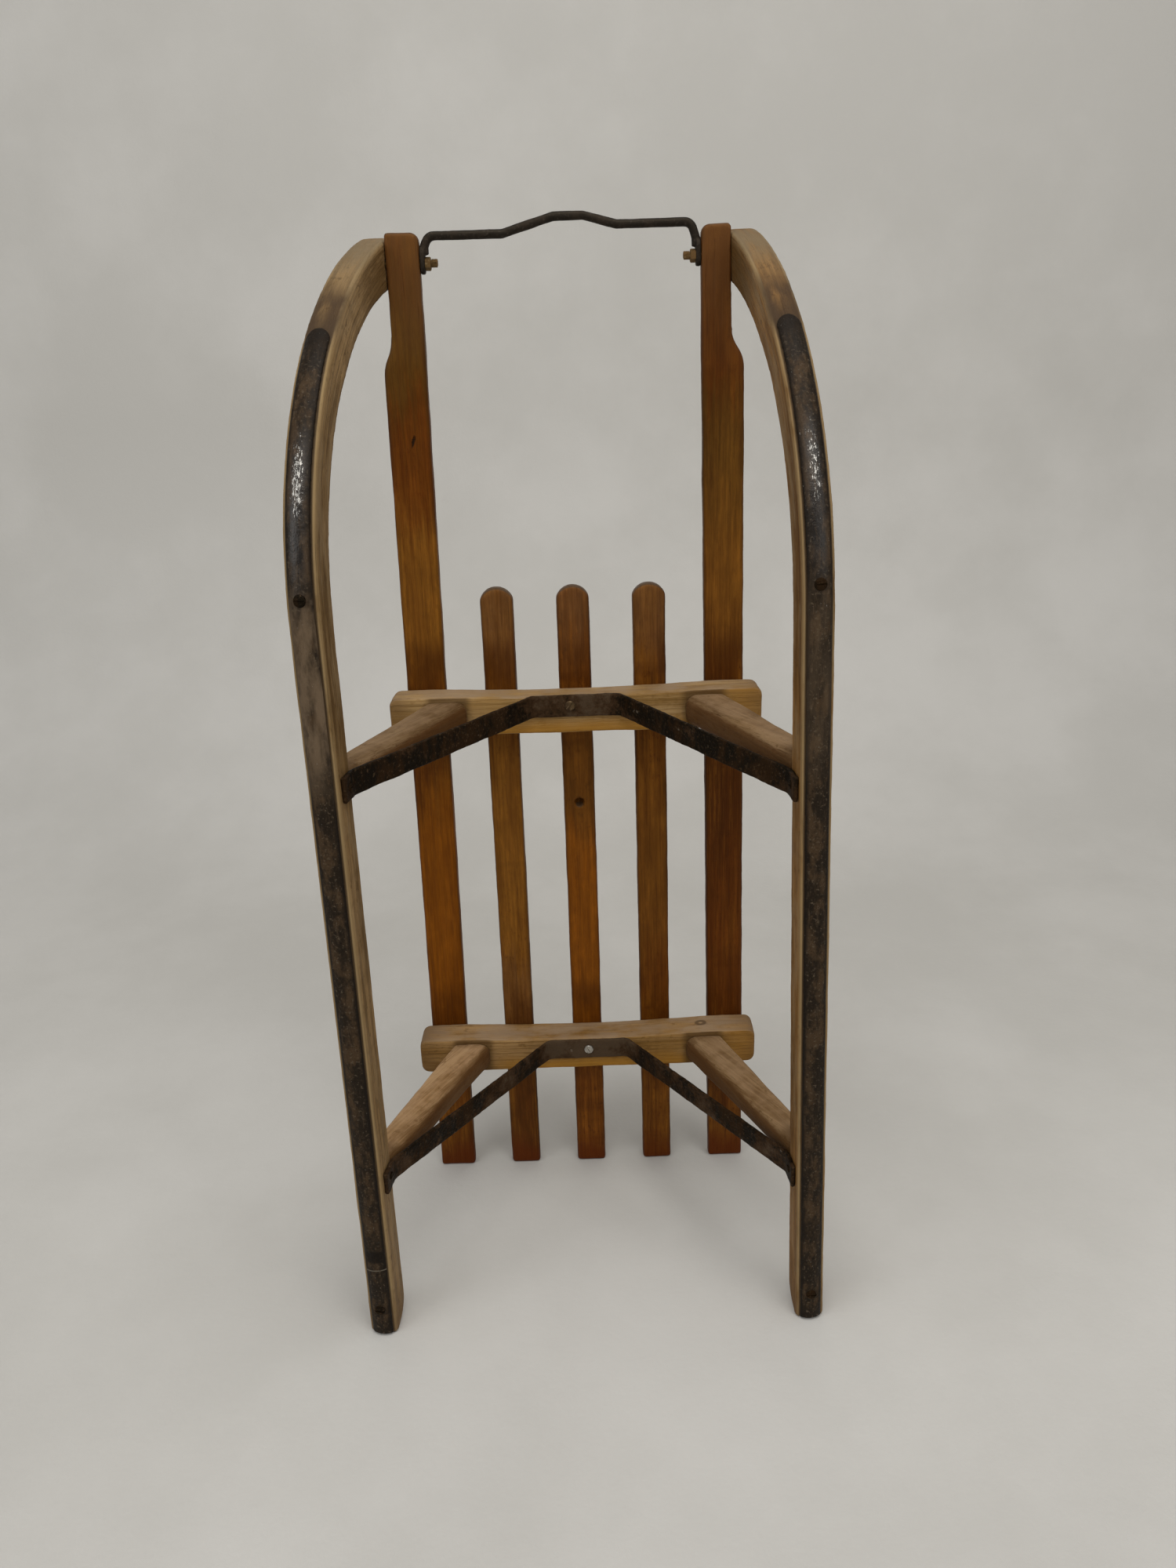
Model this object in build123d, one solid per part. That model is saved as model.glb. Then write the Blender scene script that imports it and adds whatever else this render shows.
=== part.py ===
from build123d import *
from collections import namedtuple
from math import acos, atan2, cos, degrees, radians, sin, sqrt
import os

os.makedirs("parts", exist_ok=True)

# A wooden five-slat sled, standing on its tail with the nose up.
# X runs across the sled, Y from the running surface to the seat, Z from tail to nose.
# Pieces of a side are made at +X with that side's own angles, and the left ones are mirrored.

# Seat slats
SEAT_UNDERSIDE = 227.0      # running surface to the underside of the slats
SLAT_THICKNESS = 13.0
SLAT_EDGE = 1.6             # chamfer
OUTER_SLAT_WIDTH = 35.0
OUTER_SLAT_TAIL_X = 139.3   # centre line at the tail
OUTER_SLAT_DRAW_IN = 9.8    # how far the centre line comes in along the slat
NOSE_PAST_BOLT = 23.0       # wood of the outer slats beyond the tip bolts
NOSE_INNER_ROUND = 7.0
SHOULDER_BELOW_BOLT = 55.0  # where the outer slats have narrowed for the runner tips
SHOULDER_RUN = 31.0         # length of the narrowing
INNER_SLAT_WIDTH = 29.0
INNER_SLAT_LENGTH = 602.0
INNER_SLAT_OVERHANG = 106.5 # front ends past the middle of the front crossbar
INNER_SLAT_TAIL_X = 68.3
INNER_SLAT_DRAW_IN = 1.5
INNER_TIP_RISE = 10.5       # height of the arc that rounds an inner slat's front end
INNER_TIP_CORNER = 3.0      # rounding where the arc meets the sides
HOLE_DIAMETER = 8.0         # blind hole in the underside of the middle slat
HOLE_DEPTH = 8.0
HOLE_Z = 400.0

# Crossbars
CROSSBAR_LENGTH = 327.0
CROSSBAR_WIDTH = 36.0
CROSSBAR_HEIGHT = 31.0
CROSSBAR_END_ROUND = 8.0
CROSSBAR_EDGE = 1.5         # chamfer
CROSSBAR_HOLLOW = 3.0       # depth of the hollow worked into the forward face
CROSSBAR_HOLLOW_HALF = 118.0
CROSSBAR_REAR_Z = 151.0

# Runners of bent wood: straight, then a tight bend, then a slower curve to the tip
RUNNER_WIDTH = 24.0
RUNNER_HEIGHT = 33.0        # running surface to the top
RUNNER_TAIL_X = 185.0
RUNNER_EDGE = 2.0           # chamfer
RUNNER_TAIL_ROUND = 24.0
TIP_ROUND = 8.0
TIP_ABOVE_SEAT = 15.0
BEND_START = 615.0
BEND_RADIUS = 254.0         # of the running surface, as is the next
NOSE_RADIUS = 359.0
BEND_TURN = 48.0            # degrees that the tight bend takes
TOP_BEND_TIGHTER = 8.0      # by how much the top side bends tighter than an even thickness would,
TOP_NOSE_TIGHTER = 26.0     # which leaves more wood towards the tip

# Each side in degrees: the runners lean in at the top and toe in, and as the old sled
# stands racked, both noses have swung to the left. Brace feet are in mm forward of the crossbars.
Side = namedtuple("Side", "sign toe_in splay front_foot rear_foot")
LEFT = Side(sign=-1, toe_in=0.0, splay=8.2, front_foot=2.0, rear_foot=1.0)
RIGHT = Side(sign=1, toe_in=1.35, splay=4.1, front_foot=-9.0, rear_foot=-7.0)
MEAN_SPLAY = (LEFT.splay + RIGHT.splay) / 2

# Iron shoes, a half-oval strip
SHOE_WIDTH = 18.0
SHOE_THICKNESS = 4.0
SHOE_RIM = 1.2              # thickness left at the strip's edges
SHOE_START = 2.0
SHOE_PAST_BEND = 15.0       # length of the shoe on the slower curve

# Legs between crossbars and runners, worked round on their inner sides
LEG_FROM_BAR_END = 51.0     # leg's middle at the crossbar, from the crossbar's end
LEG_TOP_DEPTH = 28.0        # along Z at the crossbar
LEG_TOP_WIDTH = 32.0
LEG_FOOT_DEPTH = 24.0       # along Z at the runner
LEG_FOOT_WIDTH = 23.0
LEG_INNER_ROUND = 10.0
LEG_OUTER_ROUND = 3.0

# Iron braces, flat strip bent to an arch
BRACE_WIDTH = 20.0
BRACE_THICKNESS = 3.5
BRACE_FLAT_HALF = 38.0
BRACE_BEND_RADIUS = 9.0
BRACE_FOOT_TOP = 29.0       # height on the runner's inner side where the foot turns down
BRACE_FOOT_END = 9.0
BRACE_FIT = 0.15            # clearance between the foot and the runner
BRACE_FRONT_FLAT = 7.5      # middle of the flat part, forward of the crossbar's middle
BRACE_REAR_FLAT = 5.0

# Pull bar, a round iron rod with flattened feet
BAR_DIAMETER = 7.0
BAR_BEND_RADIUS = 7.0
BAR_FOOT_THICKNESS = 4.0
BAR_FOOT_WIDTH = 11.0
BAR_FOOT_LOW = 8.0          # foot below the bolt
BAR_FOOT_HIGH = 13.0        # foot above the bolt
BAR_LEFT_RISE = 20.0        # level runs and raised middle, measured from the bolts
BAR_RIGHT_RISE = 24.5
BAR_MIDDLE_RISE = 31.5
BAR_SHOULDER_IN = 7.5       # corners of the bar inside the slats' inner faces
BAR_HUMP_X = (-46.0, -5.0, 19.0, 45.0)

# Bolts through runner tips, outer slats and bar feet
BOLT_OFF_MIDDLE = 2.5       # bolts sit this far tailwards of the middle of the tips
BOLT_DIAMETER = 5.5
BOLT_CLEARANCE = 0.2
BOLT_HEAD_DIAMETER = 14.0
BOLT_HEAD_HEIGHT = 3.5
BOLT_HEAD_EDGE = 1.5        # chamfer
NUT_ACROSS_FLATS = 9.0
NUT_HEIGHT = 4.5
NUT_CHAMFER = 0.6
BOLT_STUB = 5.0

# Spare length that is cut off where the tails meet the ground
TAIL_TRIM = 0.6
CUT_REACH = 80.0            # oversize of the bodies that are only used to cut
SIDE_VIEW = Plane(origin=(0, 0, 0), x_dir=(0, 0, 1), z_dir=(-1, 0, 0))

# Heights and places that follow from the driving sizes
SEAT_MID = SEAT_UNDERSIDE + SLAT_THICKNESS / 2
SEAT_TOP = SEAT_UNDERSIDE + SLAT_THICKNESS
CROSSBAR_UNDERSIDE = SEAT_UNDERSIDE - CROSSBAR_HEIGHT
CROSSBAR_FRONT_Z = INNER_SLAT_LENGTH - INNER_SLAT_OVERHANG
LEG_TOP_X = CROSSBAR_LENGTH / 2 - LEG_FROM_BAR_END
BEND_CENTRE = Vector(BEND_START, BEND_RADIUS)
BEND_END = Vector(sin(radians(BEND_TURN)), -cos(radians(BEND_TURN)))
NOSE_CENTRE = BEND_CENTRE + BEND_END * (BEND_RADIUS - NOSE_RADIUS)
TOP_BEND_RADIUS = BEND_RADIUS - RUNNER_HEIGHT - TOP_BEND_TIGHTER
TOP_NOSE_RADIUS = NOSE_RADIUS - RUNNER_HEIGHT - TOP_NOSE_TIGHTER
TOP_BEND_CENTRE = Vector(BEND_START, RUNNER_HEIGHT + TOP_BEND_RADIUS)
TOP_NOSE_CENTRE = TOP_BEND_CENTRE + BEND_END * (TOP_BEND_RADIUS - TOP_NOSE_RADIUS)
TIP_MID_RADIUS = NOSE_RADIUS - (SHOE_THICKNESS + RUNNER_HEIGHT) / 2
BOLT_LEVEL = SEAT_MID / cos(radians(MEAN_SPLAY))
TIP_MID_Z = NOSE_CENTRE.X + sqrt(TIP_MID_RADIUS**2 - (NOSE_CENTRE.Y - BOLT_LEVEL) ** 2)
BOLT_Z = TIP_MID_Z - BOLT_OFF_MIDDLE
OUTER_SLAT_LENGTH = BOLT_Z + NOSE_PAST_BOLT
SHOULDER_TOP = BOLT_Z - SHOULDER_BELOW_BOLT


def slat_place(tail_x, draw_in, length):
    """Place of a slat: its tail on the ground and its nose drawn in towards the middle."""
    turn = degrees(atan2(-draw_in, length))
    return Pos(tail_x, SEAT_UNDERSIDE, 0) * Rot(0, turn, 0)


OUTER_PLACE = slat_place(OUTER_SLAT_TAIL_X, OUTER_SLAT_DRAW_IN, OUTER_SLAT_LENGTH)
INNER_PLACE = slat_place(INNER_SLAT_TAIL_X, INNER_SLAT_DRAW_IN, INNER_SLAT_LENGTH)


def runner_place(side):
    """Place of a side's runner at +X: toed in about its tail and leaning in at the top."""
    return Pos(RUNNER_TAIL_X, 0, 0) * Rot(0, -side.toe_in, 0) * Rot(0, 0, side.splay)


def on_runner(side, across, height, along):
    """Point of a side's runner, from its own sideways, upward and lengthwise measures."""
    return (runner_place(side) * Pos(across, height, along)).position


def up_the_runner(side, level):
    """Height along a leaning runner of a level above the running surface."""
    return level / cos(radians(side.splay))


def trimmed_at_ground(solid):
    """Cut off what reaches below the ground that the sled stands on."""
    below = Pos(0, SEAT_UNDERSIDE / 2, -CUT_REACH / 2)
    return solid - below * Box(4 * RUNNER_TAIL_X, 4 * SEAT_TOP, CUT_REACH)


def plate(outline, thickness):
    """Board of the given outline, lying on Y = 0 and rising along +Y."""
    return extrude(Plane.XZ * make_face(outline), amount=-thickness)


def soften_board(board, size):
    """Break the long edges and the front end of a board, and leave its tail square."""
    flat_faces = board.faces().filter_by(Axis.Y)
    edges = [edge for edge in flat_faces.edges() if edge.center().Z > TAIL_TRIM]
    return chamfer(edges, size)


def runner(side):
    """Bent runner with a rounded tail and tip, bored and seated for the tip bolt."""
    tail = -TAIL_TRIM
    bottom = SHOE_THICKNESS
    tip = up_the_runner(side, SEAT_TOP + TIP_ABOVE_SEAT)
    nose_start = BEND_TURN - 90
    low_turn = degrees(acos((NOSE_CENTRE.Y - tip) / (NOSE_RADIUS - bottom))) - BEND_TURN
    high_turn = degrees(acos((TOP_NOSE_CENTRE.Y - tip) / TOP_NOSE_RADIUS)) - BEND_TURN
    low_bend = CenterArc(BEND_CENTRE, BEND_RADIUS - bottom, -90, BEND_TURN)
    low_nose = CenterArc(NOSE_CENTRE, NOSE_RADIUS - bottom, nose_start, low_turn)
    high_bend = CenterArc(TOP_BEND_CENTRE, TOP_BEND_RADIUS, -90, BEND_TURN)
    high_nose = CenterArc(TOP_NOSE_CENTRE, TOP_NOSE_RADIUS, nose_start, high_turn)
    round_start = (tail + RUNNER_TAIL_ROUND, RUNNER_HEIGHT)
    round_centre = (tail + RUNNER_TAIL_ROUND, RUNNER_HEIGHT - RUNNER_TAIL_ROUND)
    tail_corner = CenterArc(round_centre, RUNNER_TAIL_ROUND, 90, 90)
    outline = Curve() + [
        Line((tail, bottom), (BEND_START, bottom)),
        low_bend,
        low_nose,
        Line(low_nose @ 1, high_nose @ 1),
        high_nose,
        high_bend,
        Line((BEND_START, RUNNER_HEIGHT), round_start),
        tail_corner,
        Line(tail_corner @ 1, (tail, bottom)),
    ]
    body = extrude(SIDE_VIEW * make_face(outline), amount=RUNNER_WIDTH / 2, both=True)
    body = fillet(body.edges().filter_by(Axis.X).sort_by(Axis.Y)[-2:], TIP_ROUND)
    side_edges = body.faces().filter_by(Axis.X).edges()
    body = chamfer([edge for edge in side_edges if edge.center().Z > RUNNER_TAIL_ROUND], RUNNER_EDGE)
    body = trimmed_at_ground(runner_place(side) * body)
    pocket_radius = BOLT_HEAD_DIAMETER / 2 + BOLT_CLEARANCE
    pocket = Cylinder(pocket_radius, CUT_REACH, align=(Align.CENTER, Align.CENTER, Align.MIN))
    pocket = Pos(head_seat(side), SLAT_THICKNESS / 2, BOLT_Z) * Rot(0, 90, 0) * pocket
    return body - OUTER_PLACE * bolt_hole() - OUTER_PLACE * pocket


def shoe(side):
    """Half-oval iron strip on the running side, with a rounded front end."""
    half = SHOE_WIDTH / 2
    rim = SHOE_THICKNESS - SHOE_RIM
    section = make_face(Curve() + [
        Line((-half, SHOE_THICKNESS), (half, SHOE_THICKNESS)),
        Line((half, SHOE_THICKNESS), (half, rim)),
        ThreePointArc((half, rim), (0, 0), (-half, rim)),
        Line((-half, rim), (-half, SHOE_THICKNESS)),
    ])
    straight = extrude(Pos(0, 0, SHOE_START) * section, amount=BEND_START - SHOE_START)
    bend_axis = Axis((0, BEND_CENTRE.Y, BEND_CENTRE.X), (-1, 0, 0))
    bend = revolve(Pos(0, 0, BEND_START) * section, bend_axis, BEND_TURN)
    nose_turn = degrees(SHOE_PAST_BEND / NOSE_RADIUS)
    nose_axis = Axis((0, NOSE_CENTRE.Y, NOSE_CENTRE.X), (-1, 0, 0))
    about_nose = Pos(0, NOSE_CENTRE.Y, NOSE_CENTRE.X)
    nose_section = about_nose * Rot(-BEND_TURN, 0, 0) * Pos(0, -NOSE_RADIUS, 0) * section
    nose = revolve(nose_section, nose_axis, nose_turn)
    to_end = about_nose * Rot(-BEND_TURN - nose_turn, 0, 0) * Pos(0, -NOSE_RADIUS, 0)
    block = Pos(0, SHOE_THICKNESS / 2, 0) * Box(2 * SHOE_WIDTH, 4 * SHOE_THICKNESS, SHOE_WIDTH)
    round_end = Pos(0, SHOE_THICKNESS / 2, -half) * Rot(90, 0, 0) * Cylinder(half, 6 * SHOE_THICKNESS)
    return runner_place(side) * (straight + bend + nose - to_end * (block - round_end))


def crossbar(centre_z):
    """Bar under the slats, with rounded ends and a shallow hollow in its forward face."""
    half_length = CROSSBAR_LENGTH / 2
    half_width = CROSSBAR_WIDTH / 2
    hollow = CROSSBAR_HOLLOW_HALF
    outline = Curve() + [
        Line((-half_length, -half_width), (half_length, -half_width)),
        Line((half_length, -half_width), (half_length, half_width)),
        Line((half_length, half_width), (hollow, half_width)),
        ThreePointArc((hollow, half_width), (0, half_width - CROSSBAR_HOLLOW), (-hollow, half_width)),
        Line((-hollow, half_width), (-half_length, half_width)),
        Line((-half_length, half_width), (-half_length, -half_width)),
    ]
    bar = plate(outline, CROSSBAR_HEIGHT)
    upright = bar.edges().filter_by(Axis.Y)
    ends = [edge for edge in upright if abs(edge.center().X) > half_length - CROSSBAR_END_ROUND]
    bar = fillet(ends, CROSSBAR_END_ROUND)
    underside = bar.faces().sort_by(Axis.Y)[0]
    bar = chamfer(underside.edges(), CROSSBAR_EDGE)
    return Pos(0, CROSSBAR_UNDERSIDE, centre_z) * bar


def leg(side, centre_z):
    """Splayed leg, tapering to its foot, cut to the crossbar and to the runner's top."""
    top = Vector(LEG_TOP_X, CROSSBAR_UNDERSIDE, centre_z)
    seat = on_runner(side, 0, RUNNER_HEIGHT, centre_z)
    axis = Vector(seat.X, seat.Y, centre_z) - top
    spare = LEG_TOP_WIDTH

    def tapered(at_top, at_foot):
        """Outline that tapers along the leg's axis and overruns both of its ends."""
        slope = (at_foot - at_top) / axis.length
        low = (at_top - slope * spare) / 2
        high = (at_foot + slope * spare) / 2
        end = axis.length + spare
        return Polyline((-low, -spare), (low, -spare), (high, end), (-high, end), close=True)

    depth = make_face(tapered(LEG_TOP_DEPTH, LEG_FOOT_DEPTH))
    width = make_face(tapered(LEG_TOP_WIDTH, LEG_FOOT_WIDTH))
    across = Plane(origin=(0, 0, 0), x_dir=(0, 1, 0), z_dir=(1, 0, 0))
    body = extrude(Plane.XZ * depth, amount=LEG_TOP_WIDTH, both=True) & extrude(
        across * width, amount=LEG_TOP_DEPTH, both=True
    )
    long_edges = [edge for edge in body.edges() if abs((edge % 0.5).Z) > 0.5]
    inner_round = min(LEG_INNER_ROUND, 0.45 * min(LEG_TOP_DEPTH, LEG_FOOT_DEPTH))
    body = fillet([edge for edge in long_edges if edge.center().Y > 0], inner_round)
    long_edges = [edge for edge in body.edges() if abs((edge % 0.5).Z) > 0.5]
    outermost = min(edge.center().Y for edge in long_edges)
    outer = [edge for edge in long_edges if edge.center().Y < outermost + LEG_OUTER_ROUND]
    body = fillet(outer, LEG_OUTER_ROUND)
    body = Plane(origin=top, x_dir=(0, 0, 1), z_dir=axis).location * body
    above = Pos(LEG_TOP_X, CROSSBAR_UNDERSIDE + CUT_REACH / 2, centre_z)
    body = body - above * Box(2 * CUT_REACH, CUT_REACH, CUT_REACH)
    beneath = runner_place(side) * Pos(0, RUNNER_HEIGHT - CUT_REACH / 2, centre_z)
    return body - beneath * Box(2 * CUT_REACH, CUT_REACH, CUT_REACH)


def brace(flat_z, left_z, right_z):
    """Arched flat strip: under the crossbar in the middle, its feet on the runners' inner sides."""
    level = CROSSBAR_UNDERSIDE - BRACE_THICKNESS / 2
    off_face = -RUNNER_WIDTH / 2 - BRACE_FIT - BRACE_THICKNESS / 2
    half = BRACE_WIDTH / 2
    arms = []
    plans = []
    for side, foot_z in ((LEFT, left_z), (RIGHT, right_z)):
        bend = on_runner(side, off_face, BRACE_FOOT_TOP, foot_z + half)
        end = on_runner(side, off_face, BRACE_FOOT_END, foot_z + half)
        arms.append([
            (side.sign * end.X, end.Y), (side.sign * bend.X, bend.Y), (side.sign * BRACE_FLAT_HALF, level),
        ])
        plans.append([
            (side.sign * BRACE_FLAT_HALF, flat_z + half), (side.sign * bend.X, foot_z + half),
            (side.sign * RUNNER_TAIL_X, foot_z + half), (side.sign * RUNNER_TAIL_X, foot_z - half),
            (side.sign * bend.X, foot_z - half), (side.sign * BRACE_FLAT_HALF, flat_z - half),
        ])
    arch = FilletPolyline(*arms[0], *reversed(arms[1]), radius=BRACE_BEND_RADIUS)
    low = min(flat_z, left_z, right_z) - BRACE_WIDTH
    wide_strip = extrude(Pos(0, 0, low) * trace(arch, BRACE_THICKNESS), amount=3 * BRACE_WIDTH)
    plan = Polyline(*plans[1], *reversed(plans[0]), close=True)
    return wide_strip & plate(plan, CROSSBAR_UNDERSIDE)


def bolt_hole():
    """Cutter for the tip bolt, in the outer slat's own frame."""
    radius = BOLT_DIAMETER / 2 + BOLT_CLEARANCE
    return Pos(0, SLAT_THICKNESS / 2, BOLT_Z) * Rot(0, 90, 0) * Cylinder(radius, 4 * CUT_REACH)


def head_seat(side):
    """Sideways place, in the outer slat's frame, of the seat cut for a bolt head."""
    level = up_the_runner(side, SEAT_MID + BOLT_HEAD_DIAMETER / 2)
    face = on_runner(side, RUNNER_WIDTH / 2, level, BOLT_Z)
    return (OUTER_PLACE.inverse() * Pos(face)).position.X - BOLT_CLEARANCE


def outer_slat(side):
    """Long side slat, narrowed at the front where the runner tip lies against it."""
    half = OUTER_SLAT_WIDTH / 2
    tail = -TAIL_TRIM
    nose = OUTER_SLAT_LENGTH
    face = on_runner(side, -RUNNER_WIDTH / 2, up_the_runner(side, SEAT_UNDERSIDE), SHOULDER_TOP)
    neck = (OUTER_PLACE.inverse() * Pos(face)).position.X
    shoulder = SHOULDER_TOP - SHOULDER_RUN
    middle = ((half + neck) / 2, (SHOULDER_TOP + shoulder) / 2)
    corner = CenterArc((NOSE_INNER_ROUND - half, nose - NOSE_INNER_ROUND), NOSE_INNER_ROUND, 90, 90)
    outline = Curve() + [
        Line((-half, tail), (half, tail)),
        Line((half, tail), (half, shoulder)),
        TangentArc((half, shoulder), middle, tangent=(0, 1)),
        TangentArc((neck, SHOULDER_TOP), middle, tangent=(0, -1)),
        Line((neck, SHOULDER_TOP), (neck, nose)),
        Line((neck, nose), corner @ 0),
        corner,
        Line(corner @ 1, (-half, tail)),
    ]
    board = soften_board(plate(outline, SLAT_THICKNESS), SLAT_EDGE) - bolt_hole()
    tip = up_the_runner(side, SEAT_MID)
    beside = runner_place(side) * Pos((CUT_REACH - RUNNER_WIDTH) / 2, tip, BOLT_Z)
    board = OUTER_PLACE * board - beside * Box(CUT_REACH, CUT_REACH, 2 * SHOULDER_BELOW_BOLT)
    return trimmed_at_ground(board)


def inner_slat():
    """Short slat with an arched front end."""
    half = INNER_SLAT_WIDTH / 2
    tail = -TAIL_TRIM
    spring = INNER_SLAT_LENGTH - INNER_TIP_RISE
    outline = Curve() + [
        Line((-half, tail), (half, tail)),
        Line((half, tail), (half, spring)),
        ThreePointArc((half, spring), (0, INNER_SLAT_LENGTH), (-half, spring)),
        Line((-half, spring), (-half, tail)),
    ]
    board = plate(outline, SLAT_THICKNESS)
    corners = board.edges().filter_by(Axis.Y).sort_by(Axis.Z)[-2:]
    return soften_board(fillet(corners, INNER_TIP_CORNER), SLAT_EDGE)


def middle_slat():
    """Middle slat, with the blind hole in its underside."""
    hole = Pos(0, HOLE_DEPTH / 2, HOLE_Z) * Rot(90, 0, 0) * Cylinder(HOLE_DIAMETER / 2, HOLE_DEPTH)
    return trimmed_at_ground(Pos(0, SEAT_UNDERSIDE, 0) * (inner_slat() - hole))


def bar_foot():
    """Flattened end of the pull bar on the slat's inner side, in the outer slat's frame."""
    inner_face = -OUTER_SLAT_WIDTH / 2
    length = BAR_FOOT_HIGH + BAR_FOOT_LOW
    middle = BOLT_Z + (BAR_FOOT_HIGH - BAR_FOOT_LOW) / 2
    outline = Rot(0, 0, 90) * SlotOverall(length, BAR_FOOT_WIDTH)
    face = Plane(origin=(inner_face, SLAT_THICKNESS / 2, middle), x_dir=(0, 1, 0), z_dir=(-1, 0, 0))
    return extrude(face * outline, amount=BAR_FOOT_THICKNESS) - bolt_hole()


def pull_bar():
    """Bent round bar across the nose, raised in the middle, with its two feet."""
    def beside_slat(rise, inwards):
        """Point inside the right slat's inner face at a height above the bolt."""
        place = OUTER_PLACE * Pos(-OUTER_SLAT_WIDTH / 2 - inwards, SLAT_THICKNESS / 2, BOLT_Z + rise)
        return place.position

    start = beside_slat(BAR_FOOT_HIGH / 2, BAR_DIAMETER / 2 + BOLT_CLEARANCE)
    bend = beside_slat(BAR_FOOT_HIGH, BAR_DIAMETER / 2 + BOLT_CLEARANCE)
    corner_x = beside_slat(BAR_RIGHT_RISE, BAR_SHOULDER_IN).X
    left_level, middle_level, right_level = (
        BOLT_Z + rise for rise in (BAR_LEFT_RISE, BAR_MIDDLE_RISE, BAR_RIGHT_RISE)
    )
    rise_start, rise_end, fall_start, fall_end = BAR_HUMP_X
    route = Plane(origin=(0, SEAT_MID, 0), x_dir=(1, 0, 0), z_dir=(0, -1, 0)) * FilletPolyline(
        (-start.X, start.Z), (-bend.X, bend.Z), (-corner_x, left_level), (rise_start, left_level),
        (rise_end, middle_level), (fall_start, middle_level), (fall_end, right_level),
        (corner_x, right_level), (bend.X, bend.Z), (start.X, start.Z),
        radius=BAR_BEND_RADIUS,
    )
    section = Plane(origin=route @ 0, z_dir=route % 0) * Circle(BAR_DIAMETER / 2)
    rod = sweep(section, path=route)
    foot = OUTER_PLACE * bar_foot()
    return rod + foot + mirror(foot, Plane.YZ) - OUTER_PLACE * bolt_hole() - mirror(
        OUTER_PLACE * bolt_hole(), Plane.YZ
    )


def tip_bolt(side):
    """Round-headed bolt with its nut on the bar's foot and a stub of thread past it."""
    seat = head_seat(side)
    nut_face = -OUTER_SLAT_WIDTH / 2 - BAR_FOOT_THICKNESS
    end = nut_face - NUT_HEIGHT - BOLT_STUB
    head = Cylinder(BOLT_HEAD_DIAMETER / 2, BOLT_HEAD_HEIGHT, align=(Align.CENTER, Align.CENTER, Align.MIN))
    head = chamfer(head.edges().sort_by(Axis.Z)[-1], BOLT_HEAD_EDGE)
    shank = Cylinder(BOLT_DIAMETER / 2, seat - end, align=(Align.CENTER, Align.CENTER, Align.MAX))
    nut = extrude(RegularPolygon(NUT_ACROSS_FLATS / 2, 6, major_radius=False), amount=NUT_HEIGHT)
    nut = chamfer(nut.faces().sort_by(Axis.Z)[0].edges(), NUT_CHAMFER)
    bolt = head + shank + Pos(0, 0, nut_face - NUT_HEIGHT - seat) * nut
    return OUTER_PLACE * Pos(seat, SLAT_THICKNESS / 2, BOLT_Z) * Rot(0, 90, 0) * bolt


# Pieces that lie across the sled
pieces = {
    "crossbar_front": crossbar(CROSSBAR_FRONT_Z),
    "crossbar_rear": crossbar(CROSSBAR_REAR_Z),
    "brace_front": brace(
        CROSSBAR_FRONT_Z + BRACE_FRONT_FLAT,
        CROSSBAR_FRONT_Z + LEFT.front_foot,
        CROSSBAR_FRONT_Z + RIGHT.front_foot,
    ),
    "brace_rear": brace(
        CROSSBAR_REAR_Z + BRACE_REAR_FLAT,
        CROSSBAR_REAR_Z + LEFT.rear_foot,
        CROSSBAR_REAR_Z + RIGHT.rear_foot,
    ),
    "slat_middle": middle_slat(),
    "pull_bar": pull_bar(),
}

# Pieces of each side
for side_name, side in (("left", LEFT), ("right", RIGHT)):
    of_side = {
        "runner": runner(side),
        "shoe": shoe(side),
        "leg_front": leg(side, CROSSBAR_FRONT_Z),
        "leg_rear": leg(side, CROSSBAR_REAR_Z),
        "slat_outer": outer_slat(side),
        "slat_inner": trimmed_at_ground(INNER_PLACE * inner_slat()),
        "tip_bolt": tip_bolt(side),
    }
    for name, piece in of_side.items():
        pieces[f"{name}_{side_name}"] = piece if side is RIGHT else mirror(piece, Plane.YZ)

# The origin lies on the ground under the middle of the standing sled
box = Compound(children=[Compound(piece.solids()) for piece in pieces.values()]).bounding_box()
to_origin = Pos(-box.center().X, -box.center().Y, -box.min.Z)
for name, piece in pieces.items():
    export_step((to_origin * piece).solids()[0], f"parts/{name}.step")
print("moved by", to_origin.position)
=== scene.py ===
"""Old wooden sled standing on its tail: finishes for its solids, with its screws and bolt threads."""
import logging
import math
from dataclasses import dataclass, field, replace
from enum import Enum

import bpy
from bpy.types import Material, Node, NodeSocket, Object
from mathutils import Euler, Matrix, Vector


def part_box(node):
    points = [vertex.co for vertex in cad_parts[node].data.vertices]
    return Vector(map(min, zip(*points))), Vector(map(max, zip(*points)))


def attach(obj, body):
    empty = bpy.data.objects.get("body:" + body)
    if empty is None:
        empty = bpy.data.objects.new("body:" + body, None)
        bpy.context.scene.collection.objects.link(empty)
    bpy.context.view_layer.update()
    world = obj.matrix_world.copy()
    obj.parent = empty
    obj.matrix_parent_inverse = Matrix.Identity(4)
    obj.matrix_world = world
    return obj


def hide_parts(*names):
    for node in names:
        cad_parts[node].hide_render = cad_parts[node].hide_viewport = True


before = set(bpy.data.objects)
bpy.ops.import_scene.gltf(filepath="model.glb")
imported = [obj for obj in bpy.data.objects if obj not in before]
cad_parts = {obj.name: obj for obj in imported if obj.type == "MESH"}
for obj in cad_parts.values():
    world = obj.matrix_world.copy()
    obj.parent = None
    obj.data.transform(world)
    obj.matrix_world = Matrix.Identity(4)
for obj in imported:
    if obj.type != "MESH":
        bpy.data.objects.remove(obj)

LOG = logging.getLogger("sled")
Colour = tuple[float, float, float]
Triple = tuple[float, float, float]

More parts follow.
